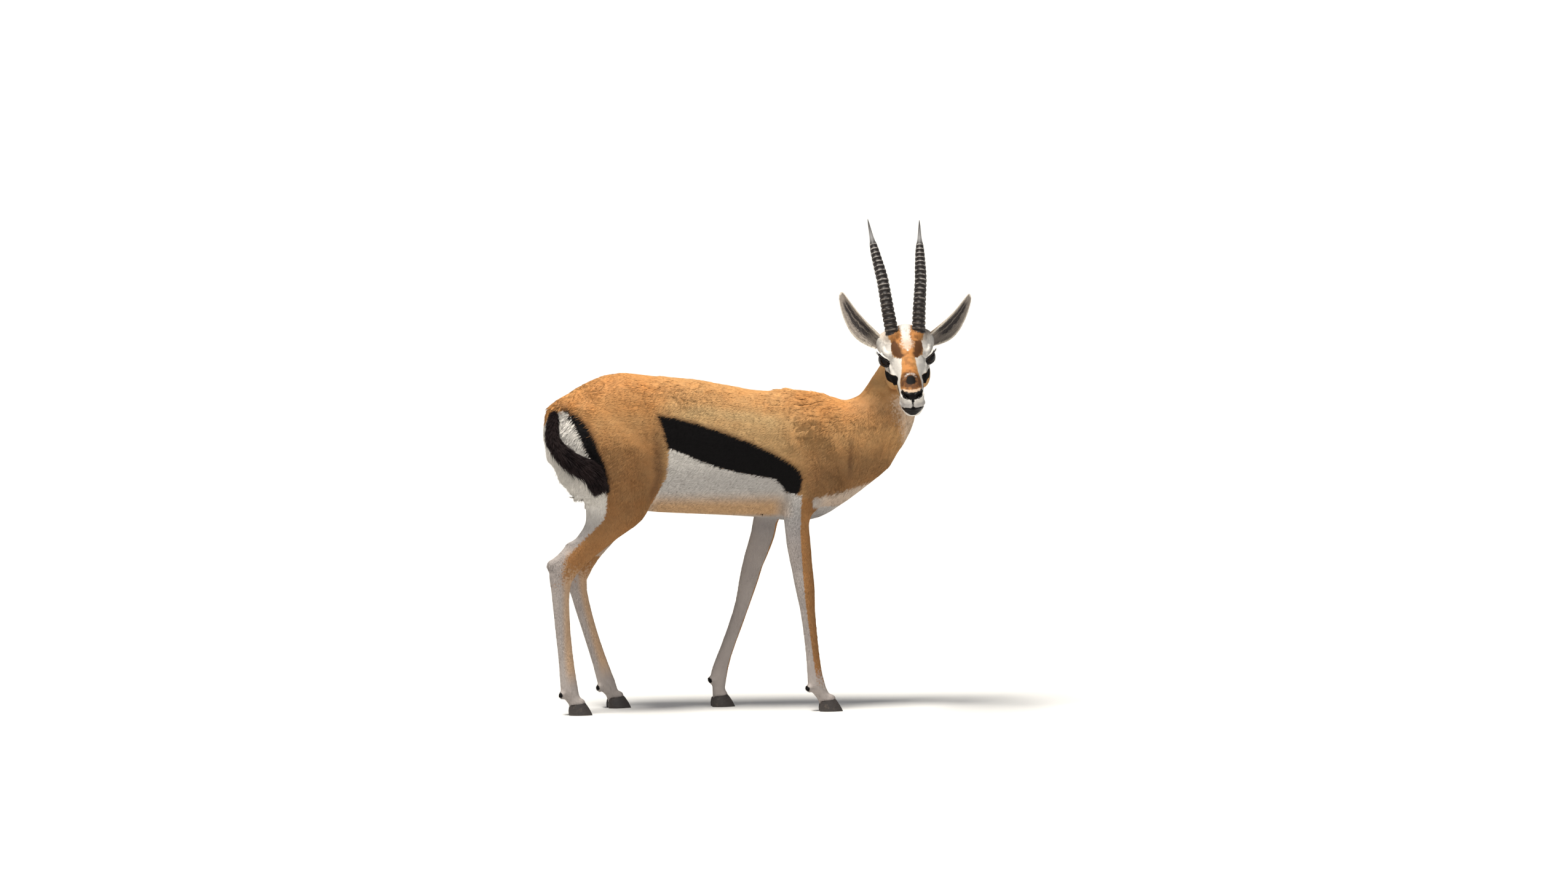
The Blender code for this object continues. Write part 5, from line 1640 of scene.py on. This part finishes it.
LOCK_STATIONS = ((0.0, 1.0), (0.35, 0.92), (0.72, 0.58))
LOCK_FACES = [(0, 2, 1)]
for low in (0, 3):
    left, right, top = low, low + 1, low + 2
    LOCK_FACES += [(left, right, right + 3), (left, right + 3, left + 3)]
    LOCK_FACES += [(right, top, top + 3), (right, top + 3, right + 3)]
    LOCK_FACES += [(top, left, left + 3), (top, left + 3, top + 3)]
LOCK_FACES = np.array(LOCK_FACES + [(6, 7, 9), (7, 8, 9), (8, 6, 9)])
LOCK_CHART = np.array([(x, y) for y, _ in LOCK_STATIONS for x in (0, 1, 0.5)] + [(0.5, 1)]) - 0.5
LOCK_SHARE = np.array([y for y, _ in LOCK_STATIONS for _ in range(3)] + [1.0])


def locks(root, start, end, out, length, width, thick):
    """Ten corners for each lock: three rings of three along a bend between two directions, and the tip."""
    points = []
    for share, size in LOCK_STATIONS:
        place = root + (start * (share - share**2 / 2) + end * (share**2 / 2)) * length[:, None]
        along = unit(start * (1 - share) + end * share)
        across = unit(np.cross(out, along))
        rise = np.cross(along, across)
        half = across * (width * size / 2)[:, None]
        points += [place - half, place + half, place + rise * (thick * size)[:, None]]
    points.append(root + (start + end) / 2 * length[:, None])
    return np.stack(points, axis=1)


def joined_mesh(name, corners_each, faces_each, charts_each, colours, out):
    """One mesh of many like solids; arrays hold one row a solid."""
    count, points = corners_each.shape[:2]
    mesh = bpy.data.meshes.new(name)
    mesh.vertices.add(count * points)
    mesh.vertices.foreach_set("co", corners_each.astype(np.float32).ravel())
    loops = (faces_each[None] + (np.arange(count) * points)[:, None, None]).astype(np.int32)
    mesh.loops.add(loops.size)
    mesh.loops.foreach_set("vertex_index", loops.ravel())
    mesh.polygons.add(loops.size // 3)
    mesh.polygons.foreach_set("loop_start", np.arange(0, loops.size, 3, dtype=np.int32))
    mesh.update(calc_edges=True)
    chart = mesh.uv_layers.new(name="OFBake")
    chart.uv.foreach_set("vector", charts_each.reshape(-1, 2)[loops.ravel()].astype(np.float32).ravel())
    for label, values in colours.items():
        store(mesh, label, values.reshape(-1, 4))
    spread = mesh.attributes.new("root_normal", "FLOAT_VECTOR", "POINT")
    spread.data.foreach_set("vector", np.repeat(out, points, axis=0).astype(np.float32).ravel())
    return mesh


# %% Finish the tufts
coat_finish, coat_shader = coat_material("coat hair", "hair", 0.58)
wires = Wires(coat_finish.node_tree)
true_normal = wires.node("ShaderNodeNewGeometry").outputs["Normal"]
root_normal = wires.stored("root_normal").outputs["Vector"]
softened = wires.node("ShaderNodeMix", data_type="VECTOR")
softened.inputs[0].default_value = 0.76
wires.link(true_normal, softened.inputs[4])
wires.link(root_normal, softened.inputs[5])
level = wires.node("ShaderNodeVectorMath", operation="NORMALIZE")
wires.link(softened.outputs[1], level.inputs[0])
wires.link(level.outputs[0], coat_shader.inputs["Normal"])

# %% Grow the coat
marks, touch = skin_ground.colours("marks"), skin_ground.colours("touch")
wanted = skin_ground.areas * root_density(skin_ground.middles, touch[skin_ground.corners].mean(axis=1))
count, rng = skin_ground.sow(wanted, 7)
roots, outs = skin_ground.roots, skin_ground.outs
lies = coat_lie(roots, outs)
length, width, lift, pull, creased = coat_form(roots)
root_touch = skin_ground.at_roots(touch)
root_marks, root_touch = all_marks(roots + lies * (0.5 * length)[:, None], outs, root_touch[:, 3])
on_head = head_share(roots)
CLUMP_SIZE = 0.0075
shrink = (1 - 0.62 * on_head + 0.75 * creased)[:, None]
centre, apart, own = clumps(roots / shrink, CLUMP_SIZE, 21)
aim = centre * shrink + lies * (0.6 * length)[:, None] - roots
aim -= outs * np.sum(aim * outs, axis=1)[:, None]
aim -= lies * np.sum(aim * lies, axis=1)[:, None]
lean = aim * pull[:, None] + np.cross(outs, lies) * (rng.normal(0, 0.11, count) * length)[:, None]
length *= rng.uniform(0.78, 1.18, count)
lift = lift * rng.uniform(0.6, 1.35, count) * (1.15 - 0.5 * np.clip(apart / CLUMP_SIZE, 0, 1))
solid = blades(roots, lies, outs, length, width, lift, lean)
combed = unit(np.array([NECK_LIE]))[0]
streaks = value_noise(roots - 0.86 * np.outer(roots @ combed, combed), 0.0065, 19) - 0.5
on_neck = ramp(0.22, 0.27, roots[:, 0] - SHIFT[0]) * ramp(0.46, 0.52, roots[:, 2]) * (1 - on_head)
# Tufts at the edge of a lock get a darker tone and those in its middle a lighter one: painted shade between
# the locks.
edge_of_lock = 0.45 - apart / CLUMP_SIZE
tone = 0.5 + 0.06 * creased + (0.30 + 0.20 * creased) * (own - 0.5)
tone += 0.13 * rng.standard_normal(count) * (1 - 0.5 * ramp(0.44, 0.34, roots[:, 2]))
tone = np.clip(tone + (0.25 + 0.45 * creased) * edge_of_lock + 0.9 * streaks * on_neck, -0.6, 1.1)


def hair_tints(shares, tone, own):
    """Root to tip, tone and the lock's own number at every corner of every tuft."""
    tints = np.ones((len(tone), len(shares), 4))
    tints[:, :, 0] = shares
    tints[:, :, 1] = tone[:, None]
    tints[:, :, 2] = own[:, None]
    return tints


hair = hair_tints(np.array((0.0, 0.0, 0.5, 1.0)), tone, own)
tuft_charts = skin_ground.root_charts[:, None, :] + TUFT_CHART * CHART_SIZE

# %% Part the coat into pieces
drawn = roots - np.array(SHIFT)
right = drawn[:, 1] < 0
regions = {
    "coat_face": (on_head > 0.5) & (into(HEAD_FRAME, roots)[:, 0] > 0.012),
    "coat_crown_and_cheeks": on_head > 0.5,
    "coat_fore_legs": (drawn[:, 2] < 0.42) & (drawn[:, 0] > -0.06),
    "coat_hind_legs": (drawn[:, 2] < 0.36) & (drawn[:, 0] <= -0.06),
    "coat_neck": drawn[:, 0] > 0.215,
    "coat_shoulder_right": right & (drawn[:, 0] > 0.075),
    "coat_shoulder_left": ~right & (drawn[:, 0] > 0.075),
    "coat_flank_right": right & (drawn[:, 0] > -0.115),
    "coat_flank_left": ~right & (drawn[:, 0] > -0.115),
    "coat_rump_right": right,
    "coat_rump_left": ~right,
}
left_over = np.ones(count, bool)
for name, inside in regions.items():
    chosen = inside & left_over
    left_over &= ~inside
    four = lambda values: np.repeat(values[chosen], 4, axis=0)
    mesh = joined_mesh(
        name.replace("_", " "), solid[chosen], TUFT_FACES, tuft_charts[chosen],
        {"marks": four(root_marks), "touch": four(root_touch), "hair": hair[chosen]}, outs[chosen],
    )
    piece_of(name, mesh, coat_finish)
    print(name, len(mesh.polygons), "triangles")

# %% [markdown]
# ## Long hair
# Four places carry hair long enough to bend: the tail, the rear of the rump, the ears and the upper eyelids.
# These locks have a root, two joints and a tip, and each starts in one direction and ends in another.

# %% A piece of locks


def piece_of_locks(name, ground, material, start, end, length, width, thick, tone, colours=None):
    solid = locks(ground.roots, start, end, ground.outs, length, width, thick)
    charts = ground.root_charts[:, None, :] + LOCK_CHART * CHART_SIZE
    tints = {"hair": hair_tints(LOCK_SHARE, tone, tone)}
    for label, values in (colours or {}).items():
        tints[label] = np.repeat(values, len(LOCK_SHARE), axis=0)
    mesh = joined_mesh(name.replace("_", " "), solid, LOCK_FACES, charts, tints, ground.outs)
    made = piece_of(name, mesh, material)
    print(name, len(made.data.polygons), "triangles")
    return made


# %% The tail's black tassel
tail_ground = Ground(tail_core)
line = np.array(tail_line)


def along_line(line, places):
    """How far along a line of points each place is, from 0 to 1, and the line's direction there."""
    gaps = np.linalg.norm(places[:, None] - line[None], axis=2)
    nearest = gaps.argmin(axis=1)
    ahead = line[np.minimum(nearest + 1, len(line) - 1)] - line[np.maximum(nearest - 1, 0)]
    return nearest / (len(line) - 1), unit(ahead)


from_root = along_line(line, tail_ground.middles)[0]
wanted = tail_ground.areas * 840_000 * (0.35 + 0.65 * ramp(0.0, 0.15, from_root))
count, rng = tail_ground.sow(wanted, 31)
share, ahead = along_line(line, tail_ground.roots)
out = tail_ground.outs
sideways = rng.normal(0, 0.16, (count, 3))
start = unit(ahead + (0.42 + 0.25 * hill(share, 0.7, 0.3))[:, None] * out + sideways)
droop = np.array((0, 0, -0.30)) * share[:, None]
end = unit(ahead * (1.0 - 0.15 * share)[:, None] + 0.10 * out + 0.7 * sideways + droop)
length = (0.015 + 0.021 * hill(share, 0.66, 0.50)) * rng.uniform(0.7, 1.2, count)
length *= 1 - 0.45 * ramp(0.88, 1.0, share)
width = np.full(count, 0.0016)
tail_tone = np.clip(rng.normal(0.5, 0.2, count), 0, 1)
piece_of_locks(
    "tail_hair", tail_ground, black_hair, start, end, length, width, 0.5 * width, tail_tone
)

# %% Loose white hair at the rear of the rump
rump_ground = skin_ground
drawn = rump_ground.middles - np.array(SHIFT)
rear = ramp(-0.27, -0.33, drawn[:, 0]) * ramp(0.42, 0.47, drawn[:, 2]) * ramp(0.62, 0.59, drawn[:, 2])
count, rng = rump_ground.sow(rump_ground.areas * 125_000 * rear, 41)
out = rump_ground.outs
lie = coat_lie(rump_ground.roots, out)
sideways = rng.normal(0, 0.13, (count, 3))
start = unit(lie + 0.42 * out + sideways)
end = unit(lie + 0.10 * out + sideways)
length = rng.uniform(0.009, 0.015, count)
width = np.full(count, 0.0010)
loose_tone = np.clip(rng.normal(0.6, 0.2, count), 0, 1)
root_colours = {label: rump_ground.at_roots(rump_ground.colours(label)) for label in ("marks", "touch")}
piece_of_locks(
    "coat_rump_loose_hair", rump_ground, coat_finish, start, end, length, width, 0.5 * width,
    loose_tone,
    root_colours,
)

# %% Hair on the ears
for label, side in SIDES.items():
    ground = Ground(ears[label])
    place = ground.colours("ear")[ground.corners].mean(axis=1)
    face, across, share = place[:, 0], place[:, 1] * 2 - 1, place[:, 2]
    rim = ramp(0.80, 0.97, np.abs(across)) * (share < 0.985)
    ridges = np.maximum.reduce([hill(across, centre, 0.13) for centre in (-0.72, -0.45, 0.0, 0.45, 0.72)])
    ridges *= face > 0.6
    ridges = ridges * ramp(0.95, 0.75, share)
    wanted = ground.areas * np.where(face > 0.6, 40_000 + 220_000 * ridges, 340_000)
    wanted += ground.areas * 560_000 * rim
    count, rng = ground.sow(wanted * (share > 0.06), 51 + side)
    tint = ground.at_roots(ground.colours("ear"))
    face, across, share = tint[:, 0], tint[:, 1] * 2 - 1, tint[:, 2]
    axis = np.array(ear_matrix(label, side).to_3x3())
    tipward, crosswise = axis[:, 2], axis[:, 1]
    inside = ramp(0.4, 0.6, face)[:, None]
    inward = -np.sign(across)[:, None] * crosswise * (0.15 + 0.20 * ramp(0.7, 1.0, np.abs(across)))[:, None]
    lie = flat_to(ground.outs, tipward + inward * inside + rng.normal(0, 0.10, (count, 3)))
    start = unit(lie + 0.20 * ground.outs)
    end = unit(lie + 0.02 * ground.outs)
    length = rng.uniform(0.75, 1.2, count) * (0.0036 + 0.0045 * inside[:, 0] * ramp(0.6, 0.2, share))
    length *= 1 - 0.45 * ramp(0.85, 1.0, share)
    width = np.full(count, 0.0005)
    ear_tone = np.clip(rng.normal(0.6, 0.2, count), 0, 1)
    piece_of_locks(
        f"ear_hair_{label}", ground, ear_hair_finish, start, end, length, width, 0.4 * width, ear_tone,
        {"ear": tint},
    )

# %% Lashes
LASHES = 30
for label, side in SIDES.items():
    rng = np.random.default_rng(61 + side)
    turns = np.radians(np.concatenate((np.linspace(8, 172, LASHES), np.linspace(205, 330, LASHES // 2))))
    upper = turns < math.pi
    bent = np.array([lid_point(side, turn, 1.02, EYE_RADIUS + 0.0012) for turn in turns])
    outward = np.array([lid_point(side, turn, 1.6, EYE_RADIUS + 0.0012) for turn in turns]) - bent
    ahead = unit(bent)
    start = unit(0.8 * ahead + 0.5 * unit(outward) + rng.normal(0, 0.06, bent.shape))
    end = 0.35 * ahead + np.where(upper, 0.15, 0.5)[:, None] * unit(outward)
    rearward = np.array((-0.15, side * 1.0, -0.08))
    end = unit(end + rearward * np.where(upper, 1.0, 0.3)[:, None])
    backward = 0.5 - 0.5 * np.cos(turns)  # more towards the rear corner
    length = np.where(upper, 0.0070 + 0.0050 * backward, 0.0045) * rng.uniform(0.8, 1.15, len(turns))
    turn_in = np.array(EYES[label].to_3x3())
    out = np.cross(start, np.cross(end, start)) + 0.1 * ahead
    start, end, out = (vectors @ turn_in.T for vectors in (start, end, out))
    roots = out_of(EYES[label], bent)
    width = np.full(len(turns), 0.00055)
    solid = locks(roots, start, end, unit(out), length, width, width)
    charts = np.zeros((len(turns), 1, 2)) + LOCK_CHART * CHART_SIZE + 0.5
    tints = {"hair": hair_tints(LOCK_SHARE, np.full(len(turns), 0.3), np.full(len(turns), 0.3))}
    mesh = joined_mesh(f"lashes {label}", solid, LOCK_FACES, charts, tints, unit(out))
    piece_of(f"lashes_{label}", mesh, black_hair)
print("lashes", len(turns), "an eye")
